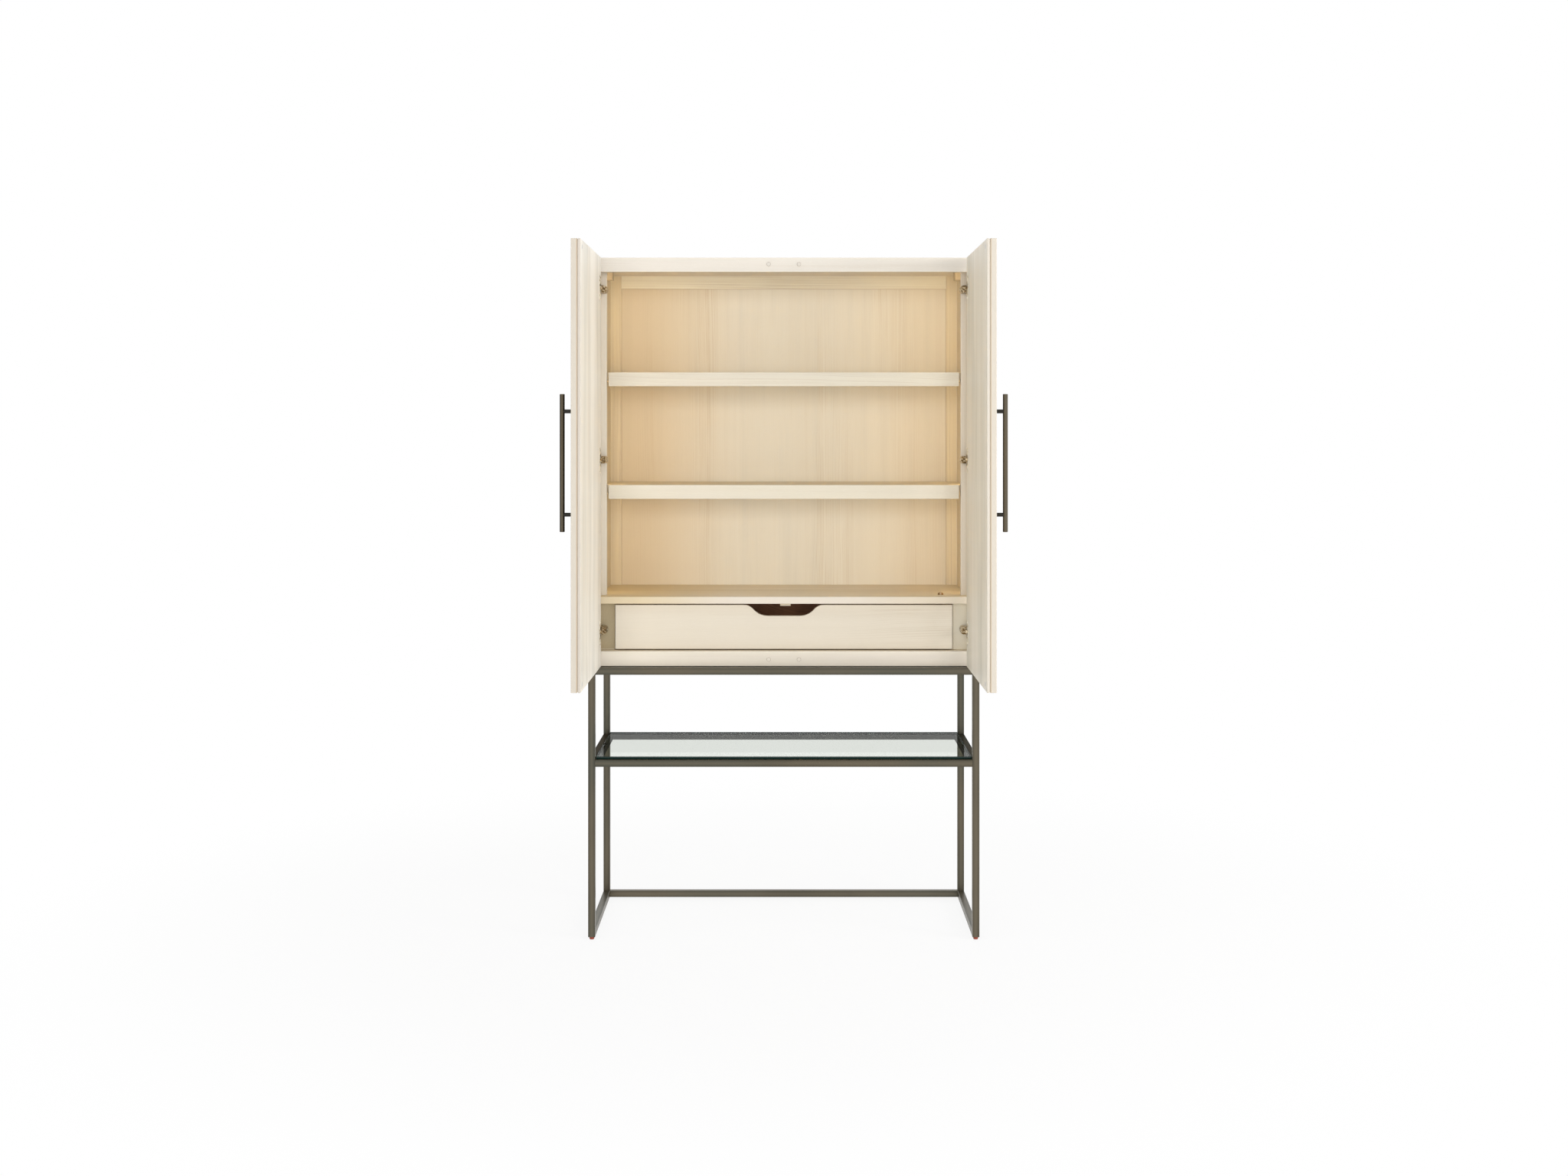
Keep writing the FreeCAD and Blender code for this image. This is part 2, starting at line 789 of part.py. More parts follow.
def led_driver():
    x1 = inner_half - driver_from_side
    y0 = front + driver_setback
    body = block(x1 - driver_width, x1, y0, y0 + driver_length, floor_top,
                 floor_top + driver_height)
    return rounded(body, driver_round, up)


# Doors. Each is drawn on the right: u runs from the hinge edge, w from the inner face.
open_face = half_width - open_inset
open_edge = front - open_setback


def leaf(u, w, z):
    return FreeCAD.Vector(open_face + w, open_edge - u, z)


def leaf_block(u0, u1, w0, w1, z0, z1):
    return block(open_face + w0, open_face + w1, open_edge - u0, open_edge - u1, z0, z1)


def door_outer():
    w0 = door_inner_thickness + door_groove_width
    body = rounded(leaf_block(0, door_width, w0, door_thickness, door_bottom, door_top),
                   edge_round)
    return body.cut(cup_bores() + cup_screw_bores() + stud_bores())


def door_inner():
    sheet = rounded(leaf_block(0, door_width, 0, door_inner_thickness, door_bottom, door_top),
                    edge_round)
    g = door_groove_depth
    spacer = leaf_block(g, door_width - g, door_inner_thickness / 2,
                        door_inner_thickness + door_groove_width,
                        door_bottom + g, door_top - g)
    strikes = [rod(strike_radius + fit_gap, leaf(u, -overrun, z),
                   leaf(u, strike_thickness + fit_gap, z)) for u, z in strike_spots()]
    return fused([sheet, spacer]).cut(cup_bores() + cup_screw_bores() + strikes)


def strike_spots():
    u = door_width - catch_from_edge
    return [(u, carcass_bottom + catch_from_end), (u, carcass_top - catch_from_end)]


def door_strikes():
    return [rod(strike_radius, leaf(u, 0, z), leaf(u, strike_thickness, z))
            for u, z in strike_spots()]


def cup_bores():
    return [rod(cup_radius + fit_gap, leaf(cup_from_edge, -overrun, z),
                leaf(cup_from_edge, cup_depth + fit_gap, z)) for z in hinge_heights]


def cup_screw_spots():
    u = cup_from_edge + cup_screw_from_centre
    return [(u, z + side * cup_screw_spread) for z in hinge_heights for side in (-1, 1)]


def cup_screw_bores():
    return [rod(hinge_screw_radius + fit_gap, leaf(u, -overrun, z),
                leaf(u, hinge_screw_length + fit_gap, z)) for u, z in cup_screw_spots()]


def post_heights():
    return [handle_centre_height + side * handle_post_span / 2 for side in (-1, 1)]


def stud_bores():
    u = door_width - handle_from_edge
    return [rod(handle_stud_radius + fit_gap,
                leaf(u, door_thickness - handle_stud_length - fit_gap, z),
                leaf(u, door_thickness + overrun, z)) for z in post_heights()]


def handle_bar():
    u = door_width - handle_from_edge
    w = door_thickness + handle_stand_off
    bar = rod(handle_radius, leaf(u, w, handle_centre_height - handle_length / 2),
              leaf(u, w, handle_centre_height + handle_length / 2))
    rims = [edge for edge in bar.Edges if len(edge.Vertexes) == 1]
    return bar.makeFillet(handle_end_round, rims)


def handle_posts():
    u = door_width - handle_from_edge
    w = door_thickness + handle_stand_off
    made = []
    for z in post_heights():
        post = rod(handle_post_radius, leaf(u, door_thickness, z), leaf(u, w, z))
        stud = rod(handle_stud_radius, leaf(u, door_thickness - handle_stud_length, z),
                   leaf(u, w, z))
        clear = rod(handle_radius + fit_gap, leaf(u, w, z - handle_radius * 2),
                    leaf(u, w, z + handle_radius * 2))
        made.append(fused([post, stud]).cut(clear))
    return made


# Concealed hinges. A lever joins a pin fixed ahead of the carcass to a pin in the cup.
# The lever turns one way as the door turns as far the other way, which takes the
# door's hinge edge from flush with the cabinet's side to its place when open.
def pole():
    u = (open_inset - open_setback + door_gap) / 2
    w = (open_inset + open_setback - door_gap) / 2
    return FreeCAD.Vector(half_width - u, front - door_gap - w, 0)


def arm_pin():
    return FreeCAD.Vector(half_width - arm_pin_inset, front - arm_pin_ahead, 0)


def cup_pin():
    arm = arm_pin() - pole()
    step = FreeCAD.Vector((arm.x + arm.y) / 2, (arm.y - arm.x) / 2, 0)
    closed = pole() + step
    u = half_width - closed.x
    w = front - door_gap - closed.y
    return leaf(u, w, 0)


def hinge_cup(z):
    mouth = leaf(cup_from_edge, -cup_plate_thickness, z)
    face = leaf(cup_from_edge, 0, z)
    cup = rod(cup_radius, mouth, face + along_x * cup_depth)
    rim = rod(cup_radius + cup_plate_rim, mouth, face)
    u = cup_from_edge + cup_screw_from_centre
    wing = leaf_block(u - cup_wing_radius, u + cup_wing_radius, -cup_plate_thickness, 0,
                      z - cup_screw_spread, z + cup_screw_spread)
    tips = [rod(cup_wing_radius, leaf(u, -cup_plate_thickness, z + side * cup_screw_spread),
                leaf(u, 0, z + side * cup_screw_spread)) for side in (-1, 1)]
    hollow = rod(cup_radius - cup_wall, mouth - along_x * overrun,
                 face + along_x * (cup_depth - cup_floor))
    body = fused([cup, rim, wing] + tips).cut([hollow] + cup_screw_bores())
    inner = cup_radius - cup_wall
    aside = cup_pin().y - leaf(cup_from_edge, 0, 0).y
    reach = sqrt(inner * inner - aside * aside) + cup_wall / 2
    pin = rod(hinge_pin_radius, cup_pin() + up * (z - reach), cup_pin() + up * (z + reach))
    return fused([body, pin])


def cup_screws():
    made = []
    for u, z in cup_screw_spots():
        head = rod(hinge_screw_head_radius,
                   leaf(u, -cup_plate_thickness - hinge_screw_head_height, z),
                   leaf(u, -cup_plate_thickness, z))
        shank = rod(hinge_screw_radius, leaf(u, -cup_plate_thickness, z),
                    leaf(u, hinge_screw_length, z))
        made.append(fused([head, shank]))
    return made


def strap(points, half_thickness, z0, z1):
    pieces = []
    for start, end in zip(points, points[1:]):
        along = (end - start).normalize()
        across = FreeCAD.Vector(-along.y, along.x, 0) * half_thickness
        ring = [start + across, end + across, end - across, start - across]
        ring = [FreeCAD.Vector(p.x, p.y, z0) for p in ring]
        pieces.append(Part.Face(Part.makePolygon(ring + ring[:1])).extrude(up * (z1 - z0)))
    for corner in points[1:-1]:
        pieces.append(rod(half_thickness, FreeCAD.Vector(corner.x, corner.y, z0),
                          FreeCAD.Vector(corner.x, corner.y, z1)))
    return pieces


def hinge_lever(z):
    fixed = arm_pin()
    moving = cup_pin()
    shoulder = fixed + FreeCAD.Vector(-lever_bulge, -lever_shoulder, 0)
    elbow = fixed + FreeCAD.Vector(-lever_bulge, -lever_elbow, 0)
    low_eye = z - lever_eye_half_height
    high_eye = z + lever_eye_half_height
    low = z - lever_half_height
    high = z + lever_half_height
    pieces = strap([fixed, shoulder, elbow], lever_half_thickness, low_eye, high_eye)
    pieces += strap([shoulder - along_y * hinge_pin_radius, elbow, moving],
                    lever_half_thickness, low, high)
    pieces.append(rod(hinge_eye_radius, fixed + up * low_eye, fixed + up * high_eye))
    pieces.append(rod(hinge_eye_radius, moving + up * low, moving + up * high))
    bores = [rod(hinge_pin_radius + pin_gap, centre + up * (low - overrun),
                 centre + up * (high + overrun)) for centre in (fixed, moving)]
    return fused(pieces).cut(bores)


def hinge_arm(z):
    x1 = inner_half - plate_thickness
    x0 = inner_half - arm_reach
    y0 = front + arm_setback
    y1 = y0 + arm_length
    shell = block(x0, x1, y0, y1, z - arm_half_height, z + arm_half_height)
    far_edges = [edge for edge in edges_along(shell, along_y) if edge.BoundBox.XMax < x1]
    shell = shell.makeFillet(arm_round, far_edges)
    hollow = block(x0 + arm_wall, x1 + overrun, y0 + arm_wall, y1 - arm_wall,
                   z - arm_half_height + arm_wall, z + arm_half_height - arm_wall)
    hollow_edges = [edge for edge in edges_along(hollow, along_y) if edge.BoundBox.XMax < x1]
    hollow = hollow.makeFillet(arm_round - arm_wall, hollow_edges)
    pin = arm_pin()
    low = z - lever_half_height
    high = z + lever_half_height
    neck = block(pin.x - hinge_eye_radius, pin.x + hinge_eye_radius, pin.y, y0 + arm_wall,
                 low, high)
    tip = rod(hinge_eye_radius, pin + up * low, pin + up * high)
    reach = hinge_eye_radius + slip_gap
    slot_half = lever_eye_half_height + slip_gap
    slot = rod(reach + slip_gap, pin + up * (z - slot_half), pin + up * (z + slot_half))
    mouth = block(pin.x - reach - overrun, pin.x + reach + overrun, pin.y - reach - overrun,
                  pin.y, z - slot_half, z + slot_half)
    axle = rod(hinge_pin_radius, pin + up * low, pin + up * high)
    nose = fused([neck, tip]).cut([slot, mouth])
    return fused([shell.cut(hollow), nose, axle])


def hinge_plate(z):
    x0 = inner_half - plate_thickness
    y0 = front + plate_setback
    body = block(x0, inner_half, y0, y0 + plate_length, z - plate_half_height,
                 z + plate_half_height)
    w0 = front + wing_setback
    wing = block(x0, inner_half, w0, w0 + wing_length, z - wing_half_height,
                 z + wing_half_height)
    holes = [rod(hinge_screw_radius + fit_gap, FreeCAD.Vector(x0 - overrun, y, h),
                 FreeCAD.Vector(inner_half + overrun, y, h)) for y, h in plate_screw_spots()]
    return fused([body, wing]).cut(holes)


def plate_screws():
    made = []
    x0 = inner_half - plate_thickness
    for y, z in plate_screw_spots():
        head = rod(hinge_screw_head_radius, FreeCAD.Vector(x0 - hinge_screw_head_height, y, z),
                   FreeCAD.Vector(x0, y, z))
        shank = rod(hinge_screw_radius, FreeCAD.Vector(x0, y, z),
                    FreeCAD.Vector(inner_half + hinge_screw_length, y, z))
        made.append(fused([head, shank]))
    return made


def both_sides(solids):
    return solids + [mirrored(solid) for solid in solids]


def save_carcass():
    right = side_panel_right()
    save("side_panel_right", right)
    save("side_panel_left", mirrored(right))
    save("top_panel", top_panel())
    save("top_front_rail", top_front_rail())
    save("bottom_panel", bottom_panel())
    save("bottom_front_rail", bottom_front_rail())
    save("back_stiles", *both_sides([back_stile_right()]))
    save("back_rails", *back_rails())
    save("back_panel", back_panel())
    save("cable_grommet", cable_grommet())
    save("drawer_deck", drawer_deck())
    save("touch_dimmer", touch_dimmer())
    save("light_battens", *both_sides([light_batten()]))
    save("led_strips", *both_sides(led_strip()))
    save("led_diffusers", *both_sides([led_diffuser()]))
    save("led_driver", led_driver())
    save("glue_blocks", *both_sides([corner_block()]), deck_block())
    save("catch_magnets", *catch_magnets())


def save_shelves():
    for name, top in zip(("upper", "lower"), shelf_tops):
        save("shelf_" + name, shelf(top))
        save("shelf_" + name + "_nosing", shelf_nosing(top))
    save("shelf_pins", *both_sides(shelf_pins_right()))


def save_stand():
    save("legs", *legs())
    save("leg_inserts", *leg_inserts())
    save("base_top_rails", *base_top_rails())
    save("carcass_bars", *carcass_bars())
    save("base_shelf_rails", *rail_ring(shelf_rail_bottom, True))
    save("base_floor_rails", *rail_ring(glide_height, False))
    save("shelf_ledge_bars", *shelf_ledge_bars())
    save("glass_shelf", glass_shelf())
    save("glass_bumpers", *glass_bumpers())
    save("carcass_fixings", *carcass_fixings())
    for corner, (x, y) in leg_centres().items():
        save("glide_" + corner, glide(x, y))


def save_drawer():
    save("drawer_front", drawer_front())
    save("drawer_box_walls", *drawer_box_walls())
    save("drawer_bottom", drawer_bottom_shape(0))
    save("drawer_fillers", *both_sides([drawer_filler()]))
    save("slide_outer_members", *both_sides([slide_outer_member()]))
    save("slide_middle_members", *both_sides([slide_middle_member()]))
    save("slide_inner_members", *both_sides([slide_inner_member()]))


def save_doors():
    groups = {
        "door_outer": [door_outer()],
        "door_inner": [door_inner()],
        "door_strikes": door_strikes(),
        "handle_bar": [handle_bar()],
        "handle_posts": handle_posts(),
        "hinge_cups": [hinge_cup(z) for z in hinge_heights] + cup_screws(),
        "hinge_levers": [hinge_lever(z) for z in hinge_heights],
    }
    for name, solids in groups.items():
        save("right_" + name, *solids)
        save("left_" + name, *[mirrored(solid) for solid in solids])
    save("hinge_arms", *both_sides([hinge_arm(z) for z in hinge_heights]))
    save("hinge_plates", *both_sides([hinge_plate(z) for z in hinge_heights] + plate_screws()))


os.makedirs("parts", exist_ok=True)
save_carcass()
save_shelves()
save_stand()
save_drawer()
save_doors()
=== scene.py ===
import bmesh
import bpy
import math
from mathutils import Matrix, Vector


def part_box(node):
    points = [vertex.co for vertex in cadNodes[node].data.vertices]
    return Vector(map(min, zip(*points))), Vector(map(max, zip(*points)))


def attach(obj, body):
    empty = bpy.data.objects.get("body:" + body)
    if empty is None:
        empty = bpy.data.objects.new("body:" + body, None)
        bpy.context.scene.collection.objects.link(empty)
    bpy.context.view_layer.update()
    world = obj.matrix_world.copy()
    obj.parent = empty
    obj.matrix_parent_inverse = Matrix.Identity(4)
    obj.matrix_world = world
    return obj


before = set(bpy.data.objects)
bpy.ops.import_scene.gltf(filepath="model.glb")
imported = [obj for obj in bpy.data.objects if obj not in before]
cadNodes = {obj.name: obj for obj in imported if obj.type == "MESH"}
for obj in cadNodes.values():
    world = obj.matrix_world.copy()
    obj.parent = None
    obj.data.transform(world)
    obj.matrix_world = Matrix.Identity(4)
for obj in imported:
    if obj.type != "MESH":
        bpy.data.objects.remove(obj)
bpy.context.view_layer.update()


def mid(node):  # middle of a piece at rest
    low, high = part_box(node)
    return (low + high) / 2


def paint(red, green, blue):  # a colour as it looks on screen, 0 to 255
    linear = []
    for value in (red, green, blue):
        share = value / 255
        linear.append(share / 12.92 if share < 0.04045 else ((share + 0.055) / 1.055) ** 2.4)
    return (*linear, 1.0)


# Node maths: a node's output that Python's operators work on

class Wire:
    def __init__(self, wiring, socket):
        self.wiring = wiring
        self.socket = socket

    def calc(self, operation, *values):
        return self.wiring.node("ShaderNodeMath", {"operation": operation}, values)

    def __add__(self, other):
        return self.calc("ADD", self, other)

    def __sub__(self, other):
        return self.calc("SUBTRACT", self, other)

    def __rsub__(self, other):
        return self.calc("SUBTRACT", other, self)

    def __mul__(self, other):
        return self.calc("MULTIPLY", self, other)

    def __truediv__(self, other):
        return self.calc("DIVIDE", self, other)

    def __pow__(self, other):
        return self.calc("POWER", self, other)

    def __gt__(self, other):
        return self.calc("GREATER_THAN", self, other)

    def __lt__(self, other):
        return self.calc("LESS_THAN", self, other)

    def __abs__(self):
        return self.calc("ABSOLUTE", self)

    def fraction(self):
        return self.calc("FRACT", self)

    def floor(self):
        return self.calc("FLOOR", self)

    def root(self):
        return self.calc("SQRT", self)

    def smaller(self, other):
        return self.calc("MINIMUM", self, other)

    def larger(self, other):
        return self.calc("MAXIMUM", self, other)

    def graded(self, gain, base):
        return self * gain + base

    def rise(self, start, end):  # 0 below start, 1 above end, smooth between
        spots = {"Value": self, "From Min": start, "From Max": end}
        return self.wiring.node("ShaderNodeMapRange", {"interpolation_type": "SMOOTHSTEP"}, spots)

    def shown(self, reach, share):
        return self.rise(*reach) * share


class Wiring:  # a node tree and what is wired into it
    def __init__(self, tree):
        self.tree = tree

    def node(self, kind, settings, sockets, out=0):
        made = self.tree.nodes.new(kind)
        for key, value in settings.items():
            setattr(made, key, value)
        spots = sockets.items() if isinstance(sockets, dict) else enumerate(sockets)
        for spot, value in spots:
            for entry in value if isinstance(value, list) else [value]:
                if isinstance(entry, Wire):
                    self.tree.links.new(entry.socket, made.inputs[spot])
                else:
                    made.inputs[spot].default_value = entry
        return Wire(self, made.outputs[out]) if made.outputs else None

    def join(self, x, y, z):
        return self.node("ShaderNodeCombineXYZ", {}, {0: x, 1: y, 2: z})


shiftShares = (1.0, 0.7, 0.3)  # of a pattern's shift, along its three axes


class Finish(Wiring):  # one material
    def __init__(self, name):
        self.material = bpy.data.materials.new(name)
        self.material.use_nodes = True
        super().__init__(self.material.node_tree)
        self.tree.nodes.clear()

    def blend(self, share, first, second):
        spots = {0: share, 6: first, 7: second}
        return self.node("ShaderNodeMix", {"data_type": "RGBA"}, spots, out=2)

    def point(self):
        return self.node("ShaderNodeTexCoord", {}, {}, out="Object")

    def facing(self):
        return self.node("ShaderNodeTexCoord", {}, {}, out="Normal")

    def split(self, vector):
        parts = self.node("ShaderNodeSeparateXYZ", {}, {0: vector})
        node = parts.socket.node
        return [Wire(self, node.outputs[axis]) for axis in range(3)]

    def scaled(self, vector, factors, shift=0.0):
        spots = {0: vector, 1: factors, 2: tuple(shift * share for share in shiftShares)}
        return self.node("ShaderNodeVectorMath", {"operation": "MULTIPLY_ADD"}, spots)

    def noise(self, vector, detail=2.0, roughness=0.5):
        spots = {"Vector": vector, "Scale": 1.0, "Detail": detail, "Roughness": roughness}
        return self.node("ShaderNodeTexNoise", {}, spots)

    def pattern(self, grain, values, seed=1.0, coarse=1.0):  # noise stretched along the grain
        across = values["across"] * coarse
        place = self.scaled(grain, (values["along"], across, across), seed * values.get("shift", 0.0))
        return self.noise(place, values.get("detail", 2.0), values.get("roughness", 0.5))

    def surface(self, sockets, height=None, depth=0.0):
        if height is not None:
            bump = self.node("ShaderNodeBump", {}, {"Height": height, "Distance": depth})
            sockets = {**sockets, "Normal": bump}
        return self.node("ShaderNodeBsdfPrincipled", {}, sockets)

    def finished(self, shader):
        self.node("ShaderNodeOutputMaterial", {}, {"Surface": shader})
        return self.material


# Wood. u runs along the grain; the growth rings circle a line that lies beside the board.

limedOak = {
    "pale": paint(234, 226, 211),
    "band": paint(226, 215, 197),
    "shade": paint(216, 209, 196),
    "line": paint(190, 171, 145),
    "blush": paint(238, 228, 216),
    "pore": paint(244, 239, 230),
    "edgeWearAndHighlight": paint(243, 236, 222),
    "ringWidth": 0.0052,
    "sway": 0.022,
    "bandStrength": 0.5,
    "shadeStrength": 0.35,
    "softStrength": 0.45,
    "lineStrength": 0.4,
    "poreStrength": 0.3,
    "arrisWidth": 0.0022,
    "coarse": 1.0,  # spacing of the soft bands, in bands per metre against the usual
    "roughness": 0.46,
}
doorOak = {
    **limedOak,
    "pale": paint(246, 241, 229),
    "band": paint(228, 222, 205),
    "shade": paint(212, 209, 195),
    "line": paint(184, 164, 136),
    "blush": paint(247, 240, 229),
    "edging": paint(202, 194, 181),
    "ringWidth": 0.011,
    "bandStrength": 0.75,
    "shadeStrength": 0.7,
    "softStrength": 0.3,
    "lineStrength": 0.42,
    "coarse": 0.45,
}
# a paler copy for the left door: painted light, as if more light fell on it
litLeftDoorOak = {
    **doorOak,
    "pale": paint(249, 245, 236),
    "band": paint(231, 226, 213),
    "shade": paint(216, 213, 203),
    "edging": paint(195, 185, 173),
}
shadedDoorFrontOak = {  # the outer faces, a darker copy with painted shade against the front light they meet once the doors are shut
    **limedOak,
    "pale": paint(222, 213, 196),
    "band": paint(213, 202, 183),
    "shade": paint(206, 199, 184),
    "blush": paint(225, 215, 201),
    "edging": paint(202, 194, 181),
    "ringWidth": 0.007,
}
panelOak = {
    **limedOak,
    "paintedLampGlow": paint(222, 201, 166),
    "pale": paint(241, 234, 217),
    "band": paint(236, 227, 208),
    "shade": paint(228, 222, 207),
    "line": paint(204, 182, 152),
    "blush": paint(241, 233, 218),
    "bandStrength": 0.45,
    "shadeStrength": 0.45,
    "softStrength": 0.16,
    "lineStrength": 0.4,
    "poreStrength": 0.2,
}
# yellower than the wood's own colour outside: painted warm lamplight on the faces inside the cabinet,
# shared by the looks made from it
frameOak = {
    **limedOak,
    "pale": paint(241, 227, 197),
    "band": paint(228, 212, 180),
    "shade": paint(220, 207, 182),
    "outside": paint(228, 220, 205),
}
railOak = {**frameOak, "pale": paint(250, 243, 222), "band": paint(240, 231, 208)}
shelfOak = {
    **frameOak,
    "pale": paint(232, 217, 186),
    "band": paint(222, 206, 174),
    "shade": paint(214, 201, 176),
}
deckOak = {
    **frameOak,
    "pale": paint(244, 231, 206),
    "band": paint(234, 220, 194),
    "shade": paint(226, 214, 192),
    "paintedLampGlow": paint(212, 190, 140),
    "edging": paint(228, 219, 206),
}
drawerOak = {
    **limedOak,
    "pale": paint(228, 219, 203),
    "band": paint(223, 213, 195),
    "shade": paint(220, 211, 194),
    "blush": paint(232, 224, 207),
    "line": paint(190, 172, 146),
    "sway": 0.034,
    "softStrength": 0.14,
    "lineStrength": 0.36,
    "poreStrength": 0.2,
    "joint": paint(52, 42, 26),
}
# a darker, greyer copy for the top front rail: painted shade against the stronger light near the top
shadedTopOak = {
    **limedOak,
    "pale": paint(224, 218, 208),
    "band": paint(218, 210, 198),
    "shade": paint(208, 202, 192),
    "blush": paint(226, 219, 209),
}
nosingOak = {**limedOak, "pale": paint(230, 222, 203), "lineStrength": 0.3}
# a darker copy for the fillers set back beside the drawer: painted shade
shadedFillerOak = {
    **limedOak,
    "pale": paint(200, 188, 156),
    "band": paint(188, 172, 138),
    "shade": paint(184, 172, 142),
    "blush": paint(204, 190, 158),
    "paintedLight": paint(246, 240, 222),
}
darkWalnut = {
    "pale": paint(150, 108, 78),
    "band": paint(122, 86, 62),
    "shade": paint(104, 76, 60),
    "line": paint(84, 57, 40),
    "blush": paint(160, 116, 88),
    "pore": paint(66, 44, 33),
    "edgeWearAndHighlight": paint(170, 128, 98),
    "ringWidth": 0.006,
    "sway": 0.02,
    "bandStrength": 0.6,
    "shadeStrength": 0.4,
    "softStrength": 0.5,
    "lineStrength": 0.6,
    "poreStrength": 0.5,
    "arrisWidth": 0.0015,
    "coarse": 1.0,
    "roughness": 0.42,
    "fill": 0.09,  # a little light of its own, as the closed drawer holds almost none
}
axisOf = {"x": 0, "y": 1, "z": 2}
figure = {  # noise patterns: waves per metre along the grain and across it, and where each shows
    "drift": {"along": 2.2, "across": 9.0, "shift": 3.1, "detail": 1.0},
    "tone": {"along": 0.5, "across": 8.0, "shift": 7.7, "roughness": 0.6, "rise": (0.34, 0.68)},
    "crowd": {"along": 0.6, "across": 9.0, "shift": 9.1, "detail": 1.0, "rise": (0.46, 0.64)},
    "broken": {"along": 7.0, "across": 60.0, "shift": 6.3, "detail": 1.0, "rise": (0.3, 0.56)},
    "soft": {"along": 1.2, "across": 46.0, "shift": 5.3, "detail": 3.0, "roughness": 0.56,
             "rise": (0.46, 0.8)},
    "cool": {"along": 1.1, "across": 24.0, "shift": 2.9, "detail": 3.0, "roughness": 0.55,
             "rise": (0.44, 0.72)},
    "fine": {"along": 9.0, "across": 900.0, "shift": 4.4, "roughness": 0.6},
    "dashes": {"along": 70.0, "across": 1500.0, "shift": 4.1, "detail": 1.0, "rise": (0.6, 0.7)},
    "clouds": {"along": 1.6, "across": 4.0, "shift": 1.7, "detail": 1.0, "rise": (0.45, 0.7)},
}
growth = {  # rings, growth lines and pores; pairs in them are a gain and a base
    "sideDrift": 0.6,
    "unevenScale": 52.0,
    "uneven": 5.0,  # rings by which the spacing wanders
    "lateStart": (0.35, 0.86),  # the dark late wood, in shares of one ring
    "lateEnd": (0.9, 1.0),
    "crowded": (0.9, 0.08),
    "broken": (0.65, 0.35),
    "fine": 0.35,
    "pores": (0.65, 0.35),
    "lineHeight": -0.5,
    "depth": 0.00009,
    "lineGloss": 0.08,
    "poreGloss": 0.1,
}
veneer = {"start": 0.37, "jump": 0.31, "ownTone": 0.7, "leafTone": 0.35}
marks = {  # colours laid on last: how much of each, and where
    "blush": 0.4,
    "ends": (0.25, 0.2),
    "endOn": 0.8,
    "edgeWearAndHighlight": (0.5, 0.3),
    "arrisStart": 0.4,
    "edging": 0.85,
    "outside": 0.6,
    "outsideFrom": 0.3,  # a face's normal times its place, in metres from the middle
    "backCounts": 0.5,  # what a face towards the back adds to that
    "faceOn": 0.5,
    # painted lamplight beside the lamps: where it shows on each side, and how much
    "paintedGlowLeft": ((0.1, 0.42), 0.6),
    "paintedGlowRight": ((0.14, 0.42), 0.24),
    "seamStart": 0.6,
}


